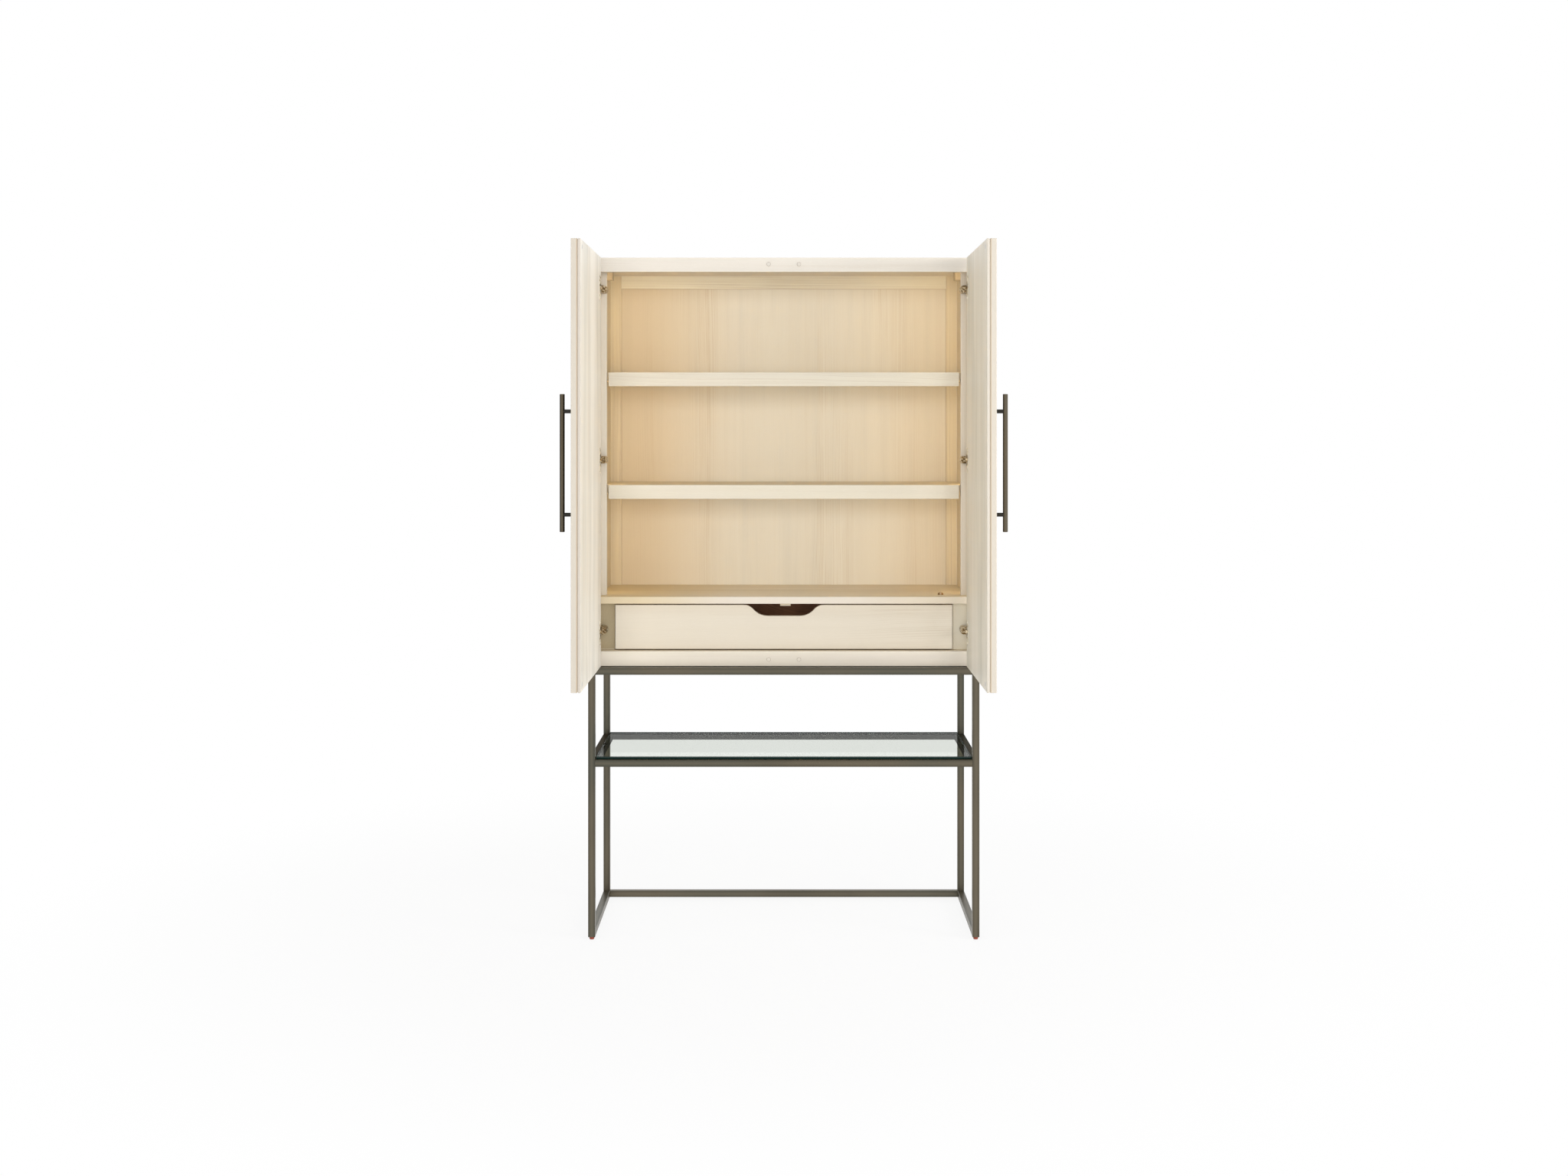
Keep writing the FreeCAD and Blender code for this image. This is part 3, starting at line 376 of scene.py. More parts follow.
def wood(node, look, run, heart, tilt=(0.0, 0.0), seed=0.0, leaf=0.0, turnAfter=None, seams=()):
    skin = Finish(node + "_wood")
    low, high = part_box(node)
    parts = skin.split(skin.point())
    facing = skin.split(skin.facing())
    centred = [parts[axis] - mid(node)[axis] for axis in range(3)]
    along = axisOf[run]
    wide, deep = [axis for axis in range(3) if axis != along]
    u, v, w = centred[along], centred[wide], centred[deep]
    if turnAfter is not None:  # boards past this place run the other way
        turned = parts[1] > turnAfter
        u, v = u + (v - u) * turned, v + (u - v) * turned
    grain = skin.join(u, v, w)

    def streaks(name, coarse=1.0):
        return skin.pattern(grain, figure[name], seed, coarse)

    def bands(name, coarse=1.0):
        return streaks(name, coarse).rise(*figure[name]["rise"])

    drift = (streaks("drift") - 0.5) * look["sway"]
    across = v - heart[0] + u * tilt[0] + drift
    tone = bands("tone")
    if leaf:  # veneer leaves laid side by side, each cut from another place
        index = (v / leaf + veneer["start"] + seed).floor()
        jump = skin.node("ShaderNodeTexWhiteNoise", {"noise_dimensions": "1D"}, {"W": index})
        across = across + jump * veneer["jump"]
        tone = tone * veneer["ownTone"] + jump * veneer["leafTone"]
    away = w - heart[1] + u * tilt[1] + drift * growth["sideDrift"]
    radius = (across * across + away * away).root()
    uneven = skin.node("ShaderNodeTexNoise", {"noise_dimensions": "1D"},
                       {"W": radius + seed, "Scale": growth["unevenScale"], "Detail": 1.0})
    ring = (radius / look["ringWidth"] + uneven * growth["uneven"]).fraction()
    late = ring.rise(*growth["lateStart"]) * (1.0 - ring.rise(*growth["lateEnd"]))
    crowd = bands("crowd")  # where the growth lines stand close
    clouds = streaks("clouds")
    lines = late * crowd.graded(*growth["crowded"]) * bands("broken").graded(*growth["broken"])
    lines = lines + bands("soft", look["coarse"]) * look["softStrength"]
    lines = lines + (streaks("fine") - 0.5) * growth["fine"]
    colour = skin.blend(tone * look["bandStrength"], look["pale"], look["band"])
    blush = clouds.shown(figure["clouds"]["rise"], marks["blush"])
    colour = skin.blend(blush, colour, look["blush"])
    colour = skin.blend(bands("cool", look["coarse"]) * look["shadeStrength"], colour, look["shade"])
    colour = skin.blend(lines * look["lineStrength"], colour, look["line"])
    pores = bands("dashes") * ring.graded(*growth["pores"])
    colour = skin.blend(pores * look["poreStrength"], colour, look["pore"])
    ends = abs(facing[along]) > marks["endOn"]
    colour = skin.blend(ends * late.graded(*marks["ends"]), colour, look["line"])
    # painted highlight along the boards' edges, with some wear
    toX, toY, toZ = [(high - low)[axis] / 2 - abs(centred[axis]) for axis in range(3)]
    toEdge = toX.smaller(toY).larger(toX.larger(toY).smaller(toZ))  # the middle one of the three
    edge = 1.0 - toEdge.rise(look["arrisWidth"] * marks["arrisStart"], look["arrisWidth"])
    colour = skin.blend(edge * clouds.graded(*marks["edgeWearAndHighlight"]), colour, look["edgeWearAndHighlight"])
    toFront = facing[1] < -marks["faceOn"]
    if "edging" in look:  # the strip glued on the front edge; on the doors its darker tone is painted shade against the front light
        colour = skin.blend(toFront * marks["edging"], colour, look["edging"])
    if "outside" in look:  # paler, the wood's own colour on the cabinet's sides and back, without the painted lamplight of the inner faces
        toBack = facing[1] > marks["faceOn"]
        outer = facing[0] * parts[0] + toBack * marks["backCounts"] > marks["outsideFrom"]
        colour = skin.blend(outer * marks["outside"], colour, look["outside"])
    if "paintedLampGlow" in look:  # painted warm lamplight beside the lamps, most of all on the left
        aside = (parts[0] * -1.0).shown(*marks["paintedGlowLeft"]) + parts[0].shown(*marks["paintedGlowRight"])
        colour = skin.blend(aside * (facing[1] < marks["faceOn"]), colour, look["paintedLampGlow"])
    if "paintedLight" in look:  # painted light: the one on the right is painted paler
        colour = skin.blend(parts[0] > 0.0, colour, look["paintedLight"])
    for axis, place, half, share in seams:  # painted shade in a seam or groove, with some wax and dust
        gap = abs(parts[axis] - place)
        mark = (1.0 - gap.rise(half * marks["seamStart"], half)) * share
        if "joint" in look:  # a darker painted gap shadow, on the front face alone
            mark = mark * toFront
        colour = skin.blend(mark, colour, look.get("joint", look["line"]))
    height = lines * growth["lineHeight"] - pores
    gloss = lines * growth["lineGloss"] + pores * growth["poreGloss"] + look["roughness"]
    sockets = {"Base Color": colour, "Roughness": gloss}
    if "fill" in look:
        sockets.update({"Emission Color": colour, "Emission Strength": look["fill"]})
    return skin.finished(skin.surface(sockets, height, growth["depth"]))


# Metals

standBronze = {
    "body": paint(108, 100, 85),
    "shade": paint(76, 73, 64),
    "cool": paint(84, 88, 80),
    "centre": paint(124, 115, 98),
    "worn": paint(146, 139, 120),
    "roughness": 0.34,
    "streak": 0.22,
    "glint": 0.4,
}
shelfBronze = {**standBronze, "inside": paint(62, 63, 56), "grazing": paint(120, 118, 110)}
# a darker copy for the ledge bars, seen through the glass: painted shade
shadedLedgeBronze = {
    **shelfBronze,
    "body": paint(84, 80, 72),
    "shade": paint(52, 51, 48),
    "inside": paint(46, 45, 40),
}
handleBronze = {
    **standBronze,
    "body": paint(110, 100, 83),
    "shade": paint(86, 78, 64),
    "cool": paint(102, 96, 84),
    "dim": paint(26, 22, 17),
    "roughness": 0.28,
}
# a darker copy for the posts behind the bar: painted shade
shadedPostBronze = {
    **handleBronze,
    "body": paint(58, 55, 50),
    "shade": paint(36, 35, 33),
    "cool": paint(50, 50, 48),
}
hingeBrass = {
    "body": paint(170, 142, 100),
    "shade": paint(122, 98, 64),
    "cool": paint(150, 128, 94),
    "worn": paint(240, 228, 200),
    "dark": paint(74, 60, 42),
    "roughness": 0.3,
    "streak": 0.2,
    "mottle": 190.0,
}
cupNickel = {
    **hingeBrass,
    "dark": paint(150, 130, 98),
    "mottle": 120.0,
    "body": paint(242, 234, 214),
    "shade": paint(206, 192, 162),
    "cool": paint(232, 226, 210),
    "worn": paint(250, 246, 236),
}
zincSteel = {
    "body": paint(190, 190, 190),
    "shade": paint(146, 148, 150),
    "cool": paint(170, 174, 178),
    "centre": paint(204, 204, 204),
    "worn": paint(226, 226, 226),
    "roughness": 0.3,
    "streak": 0.14,
}
magnetNickel = {
    **zincSteel,
    "body": paint(238, 230, 216),
    "shade": paint(218, 208, 192),
    "cool": paint(230, 226, 220),
    "worn": paint(248, 244, 236),
}
collarBrass = {
    **zincSteel,
    "body": paint(138, 112, 80),
    "shade": paint(96, 76, 54),
    "cool": paint(122, 98, 72),
    "worn": paint(176, 150, 112),
}
dimmerBrass = {
    **zincSteel,
    "body": paint(150, 116, 70),
    "shade": paint(112, 82, 44),
    "cool": paint(140, 108, 66),
    "centre": paint(252, 228, 194),
    "worn": paint(170, 136, 90),
    "glint": 0.9,
    "glintForward": 0.7,  # of the dimmer's radius, from its middle
}
blackSteel = {
    **zincSteel,
    "body": paint(92, 92, 94),
    "shade": paint(58, 58, 60),
    "cool": paint(74, 76, 80),
}
brushing = {
    "brushed": {"along": 14.0, "across": 2600.0, "shift": 3.3, "roughness": 0.65},
    "coarse": {"along": 5.0, "across": 420.0, "shift": 1.9},
    "clouds": {"along": 3.4, "across": 22.0, "shift": 6.1, "detail": 3.0, "roughness": 0.6},
    "long": {"along": 2.1, "across": 1.0, "shift": 2.3, "detail": 1.0},
}
patina = {  # where a mark shows and how much of it; lone numbers are shares
    "dull": ((0.4, 0.72), 0.45),
    "cool": ((0.42, 0.62), 0.6),
    "brushed": 1.1,
    "coarse": 0.6,
    "worn": (0.0, 0.6),
    "tubeHighlight": (0.05, 0.55),  # painted highlight, measured from a tube's middle line to its edge
    "tubePaintedShade": ((0.5, 0.9), 0.5),
    "tubeArris": (0.9, 0.985),
    "arrisWear": (0.5, 0.35),
    "rims": 0.9,
    "inwardBelow": -0.1,  # a face's normal times its place
    "inside": 0.9,
    "insideGloss": 0.3,
    "brightPatches": ((0.5, 0.62), 0.8),
    "darkPatches": ((0.36, 0.48), 0.7),
    "streakGloss": 0.09,
    "dullGloss": 0.1,
    "metallic": 0.92,
    "depth": 0.00002,
}


def metal(name, look, run, seed=0.0, tubes=None, turnBeyond=None, rims=None):
    skin = Finish(name)
    point = skin.point()
    parts = skin.split(point)
    along = axisOf[run]
    wide, deep = [axis for axis in range(3) if axis != along]
    u, v, w = parts[along], parts[wide], parts[deep]
    if turnBeyond is not None:  # the side rails run from front to back
        aside = abs(parts[0]) > turnBeyond
        u, v = u + (parts[1] - u) * aside, v + (parts[0] - v) * aside
    grain = skin.join(u, v, w)
    brushed, coarse, clouds, long = [skin.pattern(grain, brushing[name], seed)
                                     for name in ("brushed", "coarse", "clouds", "long")]
    dull = clouds.shown(*patina["dull"])
    colour = skin.blend(dull, look["body"], look["shade"])
    colour = skin.blend(long.shown(*patina["cool"]), colour, look["cool"])
    streaks = (brushed - 0.5) * patina["brushed"] + (coarse - 0.5) * patina["coarse"]
    colour = skin.blend(streaks.rise(*patina["worn"]) * look["streak"], colour, look["worn"])
    if tubes is not None:  # a square tube: painted highlight along the middle, painted shade beside each edge, and the edge itself worn bright, partly wear and partly painted highlight
        first, second, half = tubes(parts)
        aside = (first / half).smaller(second / half)
        centre = 1.0 - aside.rise(*patina["tubeHighlight"])
        colour = skin.blend(centre * look["glint"], colour, look["centre"])
        colour = skin.blend(aside.shown(*patina["tubePaintedShade"]), colour, look["shade"])
        rubbedWearAndHighlight = aside.rise(*patina["tubeArris"]) * clouds.graded(*patina["arrisWear"])
        colour = skin.blend(rubbedWearAndHighlight, colour, look["worn"])
    if rims is not None:  # a round bar: painted shade and reflection, dark towards both of its sides
        sideways = skin.split(skin.facing())[0]
        core = sideways.rise(*rims[0]) * (1.0 - sideways.rise(*rims[1]))
        colour = skin.blend((1.0 - core) * patina["rims"], colour, look["dim"])
    gloss = streaks * patina["streakGloss"] + dull * patina["dullGloss"] + look["roughness"]
    if "inside" in look:  # painted shade: faces that look towards the glass are painted dark and dull
        facing = skin.split(skin.facing())
        inward = facing[0] * parts[0] + facing[1] * parts[1] < patina["inwardBelow"]
        colour = skin.blend(inward * patina["inside"], colour, look["inside"])
        gloss = gloss + inward * patina["insideGloss"]
    if "mottle" in look:  # painted reflection: small bent faces, painted with light and dark patches by turns
        patches = skin.noise(skin.scaled(point, (look["mottle"],) * 3, seed), 1.0)
        colour = skin.blend(patches.shown(*patina["brightPatches"]), colour, look["worn"])
        darkReach, darkShare = patina["darkPatches"]
        colour = skin.blend((1.0 - patches.rise(*darkReach)) * darkShare, colour, look["dark"])
    sockets = {"Base Color": colour, "Metallic": patina["metallic"], "Roughness": gloss}
    if "grazing" in look:  # what the metal mirrors along its faces
        sockets["Specular Tint"] = look["grazing"]
    return skin.finished(skin.surface(sockets, streaks, patina["depth"]))


# Plastics, glass and light

plasticGrain = {
    "grit": {"along": 900.0, "across": 900.0, "roughness": 0.6},
    "gritShown": ((0.4, 0.75), 0.5),
    "soft": {"along": 60.0, "across": 60.0, "shift": 4.0},
    "softShown": ((0.4, 0.8), 0.3),
    "gloss": 0.15,
    "depth": 0.00003,
}
shelfGlass = {
    "clear": paint(218, 222, 216),
    "edge": paint(18, 44, 40),
    "edgeGlint": paint(30, 70, 64),
    "bend": 1.03,  # lower than real glass, so that a low view still looks through it
    "edgeBend": 1.5,
    "edgeGloss": (0.1, 0.08),
    "level": (0.5, 0.85),  # from the edge to the broad faces, by how level a face lies
    "waves": {"along": 14.0, "across": 60.0},
    "wavesShown": ((0.55, 0.8), 0.6),
}
bumperGum = {
    "colour": paint(232, 236, 234),
    "grit": {"along": 700.0, "across": 700.0},
    "gloss": (0.1, 0.12),
    "clear": 0.8,
    "bend": 1.45,
    "depth": 0.00002,
}
lamp = {
    "warm": paint(255, 218, 150),
    "soft": paint(255, 228, 172),
    "dark": paint(12, 10, 7),
    "cover": paint(244, 240, 230),
    "coverGloss": 0.4,
    "strength": 16.5,
    "pitch": 0.0167,  # from one lamp to the next under the cover
    "between": ((0.1, 0.9), 0.5),
    "deckReach": (0.0, 0.1),  # dim beside the deck or a shelf, full past this
    "shelfReach": (0.016, 0.055),
}


def plastic(name, colour, speck, roughness):
    skin = Finish(name)
    point = skin.point()
    grit = skin.pattern(point, plasticGrain["grit"])
    soft = skin.pattern(point, plasticGrain["soft"])
    specks = grit.shown(*plasticGrain["gritShown"]) + soft.shown(*plasticGrain["softShown"])
    gloss = (grit - 0.5) * plasticGrain["gloss"] + roughness
    sockets = {"Base Color": skin.blend(specks, colour, speck), "Roughness": gloss}
    return skin.finished(skin.surface(sockets, grit, plasticGrain["depth"]))


def glass(name):
    skin = Finish(name)
    waves = skin.pattern(skin.point(), shelfGlass["waves"])
    level = abs(skin.split(skin.facing())[2]).rise(*shelfGlass["level"])
    body = skin.surface({"Base Color": shelfGlass["clear"], "Roughness": 0.0, "IOR": shelfGlass["bend"],
                         "Transmission Weight": 1.0})
    # painted glints on the glass edges
    shine = waves.shown(*shelfGlass["wavesShown"])
    depth = skin.blend(shine, shelfGlass["edge"], shelfGlass["edgeGlint"])
    rim = skin.surface({"Base Color": depth, "Roughness": waves.graded(*shelfGlass["edgeGloss"]),
                        "IOR": shelfGlass["edgeBend"]})
    return skin.finished(skin.node("ShaderNodeMixShader", {}, {0: level, 1: rim, 2: body}))


def clearPlastic(name):
    skin = Finish(name)
    grit = skin.pattern(skin.point(), bumperGum["grit"])
    sockets = {"Base Color": bumperGum["colour"], "Roughness": grit.graded(*bumperGum["gloss"]),
               "Transmission Weight": bumperGum["clear"], "IOR": bumperGum["bend"]}
    return skin.finished(skin.surface(sockets, grit, bumperGum["depth"]))


def litCover(name):
    skin = Finish(name)
    height = skin.split(skin.point())[2]
    spots = abs((height / lamp["pitch"]).fraction() - 0.5) * 2.0
    glow = skin.blend(spots.shown(*lamp["between"]), lamp["soft"], lamp["warm"])
    bare = (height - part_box("drawer_deck")[1].z).rise(*lamp["deckReach"])
    for node in ("shelf_upper", "shelf_lower"):
        bare = bare * abs(height - mid(node).z).rise(*lamp["shelfReach"])
    glow = skin.blend(bare, lamp["dark"], glow)
    sockets = {"Base Color": lamp["cover"], "Roughness": lamp["coverGloss"], "Emission Color": glow,
               "Emission Strength": lamp["strength"]}
    return skin.finished(skin.surface(sockets))


# A finish for every piece

print("finishes")
# Dark lines painted in seams and grooves: painted shade, with some dust
seamShadeAndDust = {  # half of its width and its strength
    "panel": (0.0016, 0.7),
    "drawer": (0.0014, 0.8),
    "block": (0.06, 0.6),
}
panelGroove = 0.008  # depth to which the back panel sits in its frame
doorBoards = {
    "groove": 0.002,
    "grooveSpread": 0.8,
    # painted shade in the groove between the door's layers
    "groovePaintedShade": 0.9,
    "heart": (0.03, 0.85),
    "tilt": (0.006, 0.002),
    "leaf": 0.118,
}


def seam(axis, place, kind):
    return axisOf[axis], place, *seamShadeAndDust[kind]


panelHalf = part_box("back_rails")[1].x
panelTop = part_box("back_panel")[1].z - panelGroove
# painted shade where the panel meets its frame
panelSeams = [seam(axis, place, "panel") for axis, place in
              (("x", -panelHalf), ("x", panelHalf), ("z", panelTop))]
drawerLow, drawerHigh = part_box("drawer_front")
# painted shadow in the gaps round the drawer front
drawerSeams = [seam(axis, place, "drawer") for axis, place in
               (("z", drawerLow.z), ("z", drawerHigh.z), ("x", drawerLow.x), ("x", drawerHigh.x))]
blockShade = [seam("z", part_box("glue_blocks")[1].z, "block")]  # painted shade: the upper blocks, under the top rail, are painted browner
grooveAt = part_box("right_door_inner")[1].x + doorBoards["groove"] / 2
wallTurn = 0.012  # thickness of the drawer box's back wall


def doorBoard(side, seed, outer):
    sign = -1 if side == "left" else 1
    half = doorBoards["groove"] * doorBoards["grooveSpread"]
    seams = [(axisOf["x"], sign * grooveAt, half, doorBoards["groovePaintedShade"])] if outer else []
    look = shadedDoorFrontOak if outer else {"left": litLeftDoorOak, "right": doorOak}[side]
    beside, behind = doorBoards["heart"]
    return dict(look=look, run="z", heart=(-beside * sign, behind), tilt=doorBoards["tilt"], seed=seed,
                leaf=doorBoards["leaf"], seams=seams)


boards = {  # run of the grain, where the rings' heart lies beside the board, and the rest
    "side_panel_left": dict(look=frameOak, run="z", heart=(0.04, 0.9), tilt=(0.002, 0.005), seed=1.0),
    "side_panel_right": dict(look=frameOak, run="z", heart=(-0.04, 0.8), tilt=(0.002, -0.005), seed=2.0),
    "top_panel": dict(look=limedOak, run="x", heart=(0.7, 0.05), tilt=(0.006, 0.0), seed=3.0),
    "top_front_rail": dict(look=shadedTopOak, run="x", heart=(0.05, 0.22), tilt=(0.01, 0.02), seed=4.0),
    "bottom_panel": dict(look=frameOak, run="x", heart=(0.8, 0.05), tilt=(0.006, 0.0), seed=5.0),
    "bottom_front_rail": dict(look=limedOak, run="x", heart=(0.05, 0.2), tilt=(0.01, 0.022), seed=6.0),
    "back_stiles": dict(look=frameOak, run="z", heart=(0.3, 0.06), tilt=(0.004, 0.0), seed=7.0),
    "back_rails": dict(look=railOak, run="x", heart=(0.04, 0.3), tilt=(0.0, 0.012), seed=8.0),
    "back_panel": dict(look=panelOak, run="z", heart=(0.9, 0.04), tilt=(0.006, 0.0), seed=9.0,
                       leaf=0.152, seams=panelSeams),
    "drawer_deck": dict(look=deckOak, run="x", heart=(0.35, 0.12), tilt=(0.02, 0.0), seed=10.0),
    "light_battens": dict(look=limedOak, run="z", heart=(0.05, 0.2), tilt=(0.004, 0.006), seed=11.0),
    "glue_blocks": dict(look=frameOak, run="x", heart=(0.06, 0.08), seed=12.0, seams=blockShade),
    "shelf_upper": dict(look=shelfOak, run="x", heart=(0.5, 0.12), tilt=(0.015, 0.0), seed=13.0),
    "shelf_upper_nosing": dict(look=nosingOak, run="x", heart=(0.06, 0.24), tilt=(0.0, 0.02), seed=14.0),
    "shelf_lower": dict(look=shelfOak, run="x", heart=(0.6, 0.12), tilt=(0.014, 0.0), seed=15.0),
    "shelf_lower_nosing": dict(look=nosingOak, run="x", heart=(0.06, 0.2), tilt=(0.0, 0.03), seed=16.0),
    "drawer_front": dict(look=drawerOak, run="x", heart=(0.12, 0.24), tilt=(-0.012, -0.02), seed=17.0,
                         seams=drawerSeams),
    "drawer_box_walls": dict(look=darkWalnut, run="y", heart=(0.08, 0.3), tilt=(0.0, 0.01), seed=18.0,
                             turnAfter=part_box("drawer_box_walls")[1].y - wallTurn),
    "drawer_bottom": dict(look=darkWalnut, run="x", heart=(0.5, 0.03), tilt=(0.01, 0.0), seed=19.0),
    "drawer_fillers": dict(look=shadedFillerOak, run="z", heart=(0.05, 0.2), tilt=(0.0, 0.01), seed=20.0),
    "left_door_outer": doorBoard("left", 21.0, True),
    "left_door_inner": doorBoard("left", 22.0, False),
    "right_door_outer": doorBoard("right", 23.0, True),
    "right_door_inner": doorBoard("right", 24.0, False),
}


def dress(node, material):
    data = cadNodes[node].data
    data.materials.clear()
    data.materials.append(material)


for node, choices in boards.items():
    dress(node, wood(node, **choices))

tubeHalf = (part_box("legs")[1].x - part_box("shelf_ledge_bars")[1].x) / 2
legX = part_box("legs")[1].x - tubeHalf
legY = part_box("legs")[1].y - tubeHalf


def legArrises(parts):
    return abs(abs(parts[0]) - legX), abs(abs(parts[1]) - legY), tubeHalf


def railArrises(node):
    height = mid(node).z

    def arrises(parts):
        aside = abs(parts[0]) > legX - tubeHalf
        fromX = abs(abs(parts[0]) - legX)
        fromY = abs(abs(parts[1]) - legY)
        return fromY + (fromX - fromY) * aside, abs(parts[2] - height), tubeHalf

    return arrises


def dimmerGlint(parts):  # distance from the painted highlight on its front, twice, and its radius
    middle = mid("touch_dimmer")
    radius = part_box("touch_dimmer")[1].x - middle.x
    ahead = parts[1] - (middle.y - radius * dimmerBrass["glintForward"])
    out = ((parts[0] - middle.x) ** 2.0 + ahead * ahead).root()
    return out, out, radius


metals = {  # name of the finish, look, run of the brushing, seed and the rest
    "legs": ("legs_bronze", standBronze, "z", 1.0, legArrises),
    "base_top_rails": ("base_top_rails_bronze", standBronze, "x", 2.0,
                       railArrises("base_top_rails"), legX - tubeHalf),
    "base_shelf_rails": ("base_shelf_rails_bronze", shelfBronze, "x", 3.0,
                         railArrises("base_shelf_rails"), legX - tubeHalf),
    "base_floor_rails": ("base_floor_rails_bronze", standBronze, "x", 4.0,
                         railArrises("base_floor_rails"), legX - tubeHalf),
    "shelf_ledge_bars": ("ledge_bronze", shadedLedgeBronze, "x", 6.0),
    "carcass_bars": ("bar_bronze", standBronze, "x", 6.5),
}
# Where the painted shade on a bar's sides ends and starts again, by the way that a face looks
handleShadeRims = {"left": ((-0.8, -0.1), (0.15, 0.75)), "right": ((-0.95, -0.45), (1.4, 1.8))}
for side, rims in handleShadeRims.items():
    metals.update({
        side + "_handle_bar": (side + "_handle_bronze", handleBronze, "z", 7.0, None, None, rims),
        side + "_handle_posts": (side + "_post_bronze", shadedPostBronze, "x", 8.0),
        side + "_hinge_cups": (side + "_cup_nickel", cupNickel, "z", 9.0),
        side + "_hinge_levers": (side + "_lever_brass", hingeBrass, "y", 10.0),
        side + "_door_strikes": (side + "_strike_steel", zincSteel, "z", 11.0),
    })
metals.update({
    "hinge_arms": ("arm_brass", hingeBrass, "y", 12.0),
    "hinge_plates": ("plate_nickel", cupNickel, "z", 13.0),
    "catch_magnets": ("magnet_nickel", magnetNickel, "y", 14.0),
    "slide_outer_members": ("slide_outer_zinc", zincSteel, "y", 15.0),
    "slide_middle_members": ("slide_middle_zinc", zincSteel, "y", 15.0),
    "slide_inner_members": ("slide_inner_zinc", zincSteel, "y", 15.0),
    "shelf_pins": ("pin_nickel", zincSteel, "x", 16.0),
    "carcass_fixings": ("fixing_zinc", zincSteel, "z", 17.0),
    "leg_inserts": ("insert_zinc", blackSteel, "z", 18.0),
    "led_strips": ("channel_aluminium", zincSteel, "z", 19.0),
    "touch_dimmer": ("dimmer_brass", dimmerBrass, "x", 20.0, dimmerGlint),
})
for node, choices in metals.items():
    dress(node, metal(*choices))
dress("led_diffusers", litCover("opal_cover"))
dress("led_driver", plastic("driver_case", paint(238, 238, 236), paint(216, 216, 214), 0.45))
dress("cable_grommet", plastic("grommet_plastic", paint(46, 44, 42), paint(68, 66, 62), 0.5))
dress("glass_shelf", glass("float_glass"))
dress("glass_bumpers", clearPlastic("bumper_clear"))
glidePlastic = plastic("glide_plastic", paint(150, 70, 48), paint(112, 44, 30), 0.55)
for corner in ("front_left", "front_right", "back_left", "back_right"):
    dress("glide_" + corner, glidePlastic)


# Small fittings, made by node trees and set on the hinges and rails

screwHead = {"radius": 0.0031, "height": 0.0012, "slot": 0.0009, "cross": 0.0038, "depth": 0.0008}
magnetCollar = {"radius": 0.0050, "wire": 0.0005}
sides = {"headAround": 20, "headUp": 10, "collarAround": 32, "collarWire": 10}  # of their round forms
weldReach = 0.000001


class Maker(Wiring):  # a Geometry Nodes tree that sets one shape on every point of its host
    def __init__(self, name, sizes):
        super().__init__(bpy.data.node_groups.new(name, "GeometryNodeTree"))
        ends = self.tree.interface
        ends.new_socket("Points", in_out="INPUT", socket_type="NodeSocketGeometry")
        ends.new_socket("Solid", in_out="OUTPUT", socket_type="NodeSocketGeometry")
        self.keys = {}
        for size in sizes:
            spot = ends.new_socket(size, in_out="INPUT", socket_type="NodeSocketFloat")
            self.keys[size] = spot.identifier
        start = self.tree.nodes.new("NodeGroupInput")
        self.points = Wire(self, start.outputs[0])
        self.size = {size: Wire(self, start.outputs[size]) for size in sizes}

    def block(self, x, y, z, lift):
        cube = self.node("GeometryNodeMeshCube", {}, {"Size": self.join(x, y, z)})
        spots = {"Geometry": cube, "Translation": self.join(0.0, 0.0, lift)}
        return self.node("GeometryNodeTransform", {}, spots)

    def spread(self, shape, material):
        vectors = {"data_type": "FLOAT_VECTOR"}
        way = self.node("GeometryNodeInputNamedAttribute", vectors, {"Name": "facing"})
        turn = self.node("FunctionNodeAlignRotationToVector", {"axis": "Z"}, {"Vector": way})
        spots = {"Points": self.points, "Instance": shape, "Rotation": turn}
        copies = self.node("GeometryNodeInstanceOnPoints", {}, spots)
        real = self.node("GeometryNodeRealizeInstances", {}, {"Geometry": copies})
        painted = self.node("GeometryNodeSetMaterial", {}, {"Geometry": real, "Material": material})
        self.node("NodeGroupOutput", {}, {0: painted})
        return self


def screwMaker():  # low domes with a cross recess
    maker = Maker("screw_heads", screwHead)
    size = maker.size
    spots = {"Segments": sides["headAround"], "Rings": sides["headUp"], "Radius": size["radius"]}
    ball = maker.node("GeometryNodeMeshUVSphere", {}, spots)
    flatter = maker.join(1.0, 1.0, size["height"] / size["radius"])
    dome = maker.node("GeometryNodeTransform", {}, {"Geometry": ball, "Scale": flatter})
    wide = size["radius"] * 4.0
    deep = size["depth"] * 2.0
    cuts = [maker.block(wide, wide, wide, wide * -0.5),
            maker.block(size["cross"], size["slot"], deep, size["height"]),
            maker.block(size["slot"], size["cross"], deep, size["height"])]
    cutting = {"operation": "DIFFERENCE", "solver": "EXACT"}
    head = maker.node("GeometryNodeMeshBoolean", cutting, {0: dome, 1: cuts, "Self Intersection": True})
    return maker.spread(head, metal("screw_brass", cupNickel, "x", 21.0))


def collarMaker():  # a thin brass ring round each catch magnet
    maker = Maker("magnet_collars", magnetCollar)
    circle = "GeometryNodeCurvePrimitiveCircle"
    size = maker.size
    around = maker.node(circle, {}, {"Resolution": sides["collarAround"], "Radius": size["radius"]})
    section = maker.node(circle, {}, {"Resolution": sides["collarWire"], "Radius": size["wire"]})
    ring = maker.node("GeometryNodeCurveToMesh", {}, {"Curve": around, "Profile Curve": section})
    return maker.spread(ring, metal("collar_brass", collarBrass, "y", 22.0))


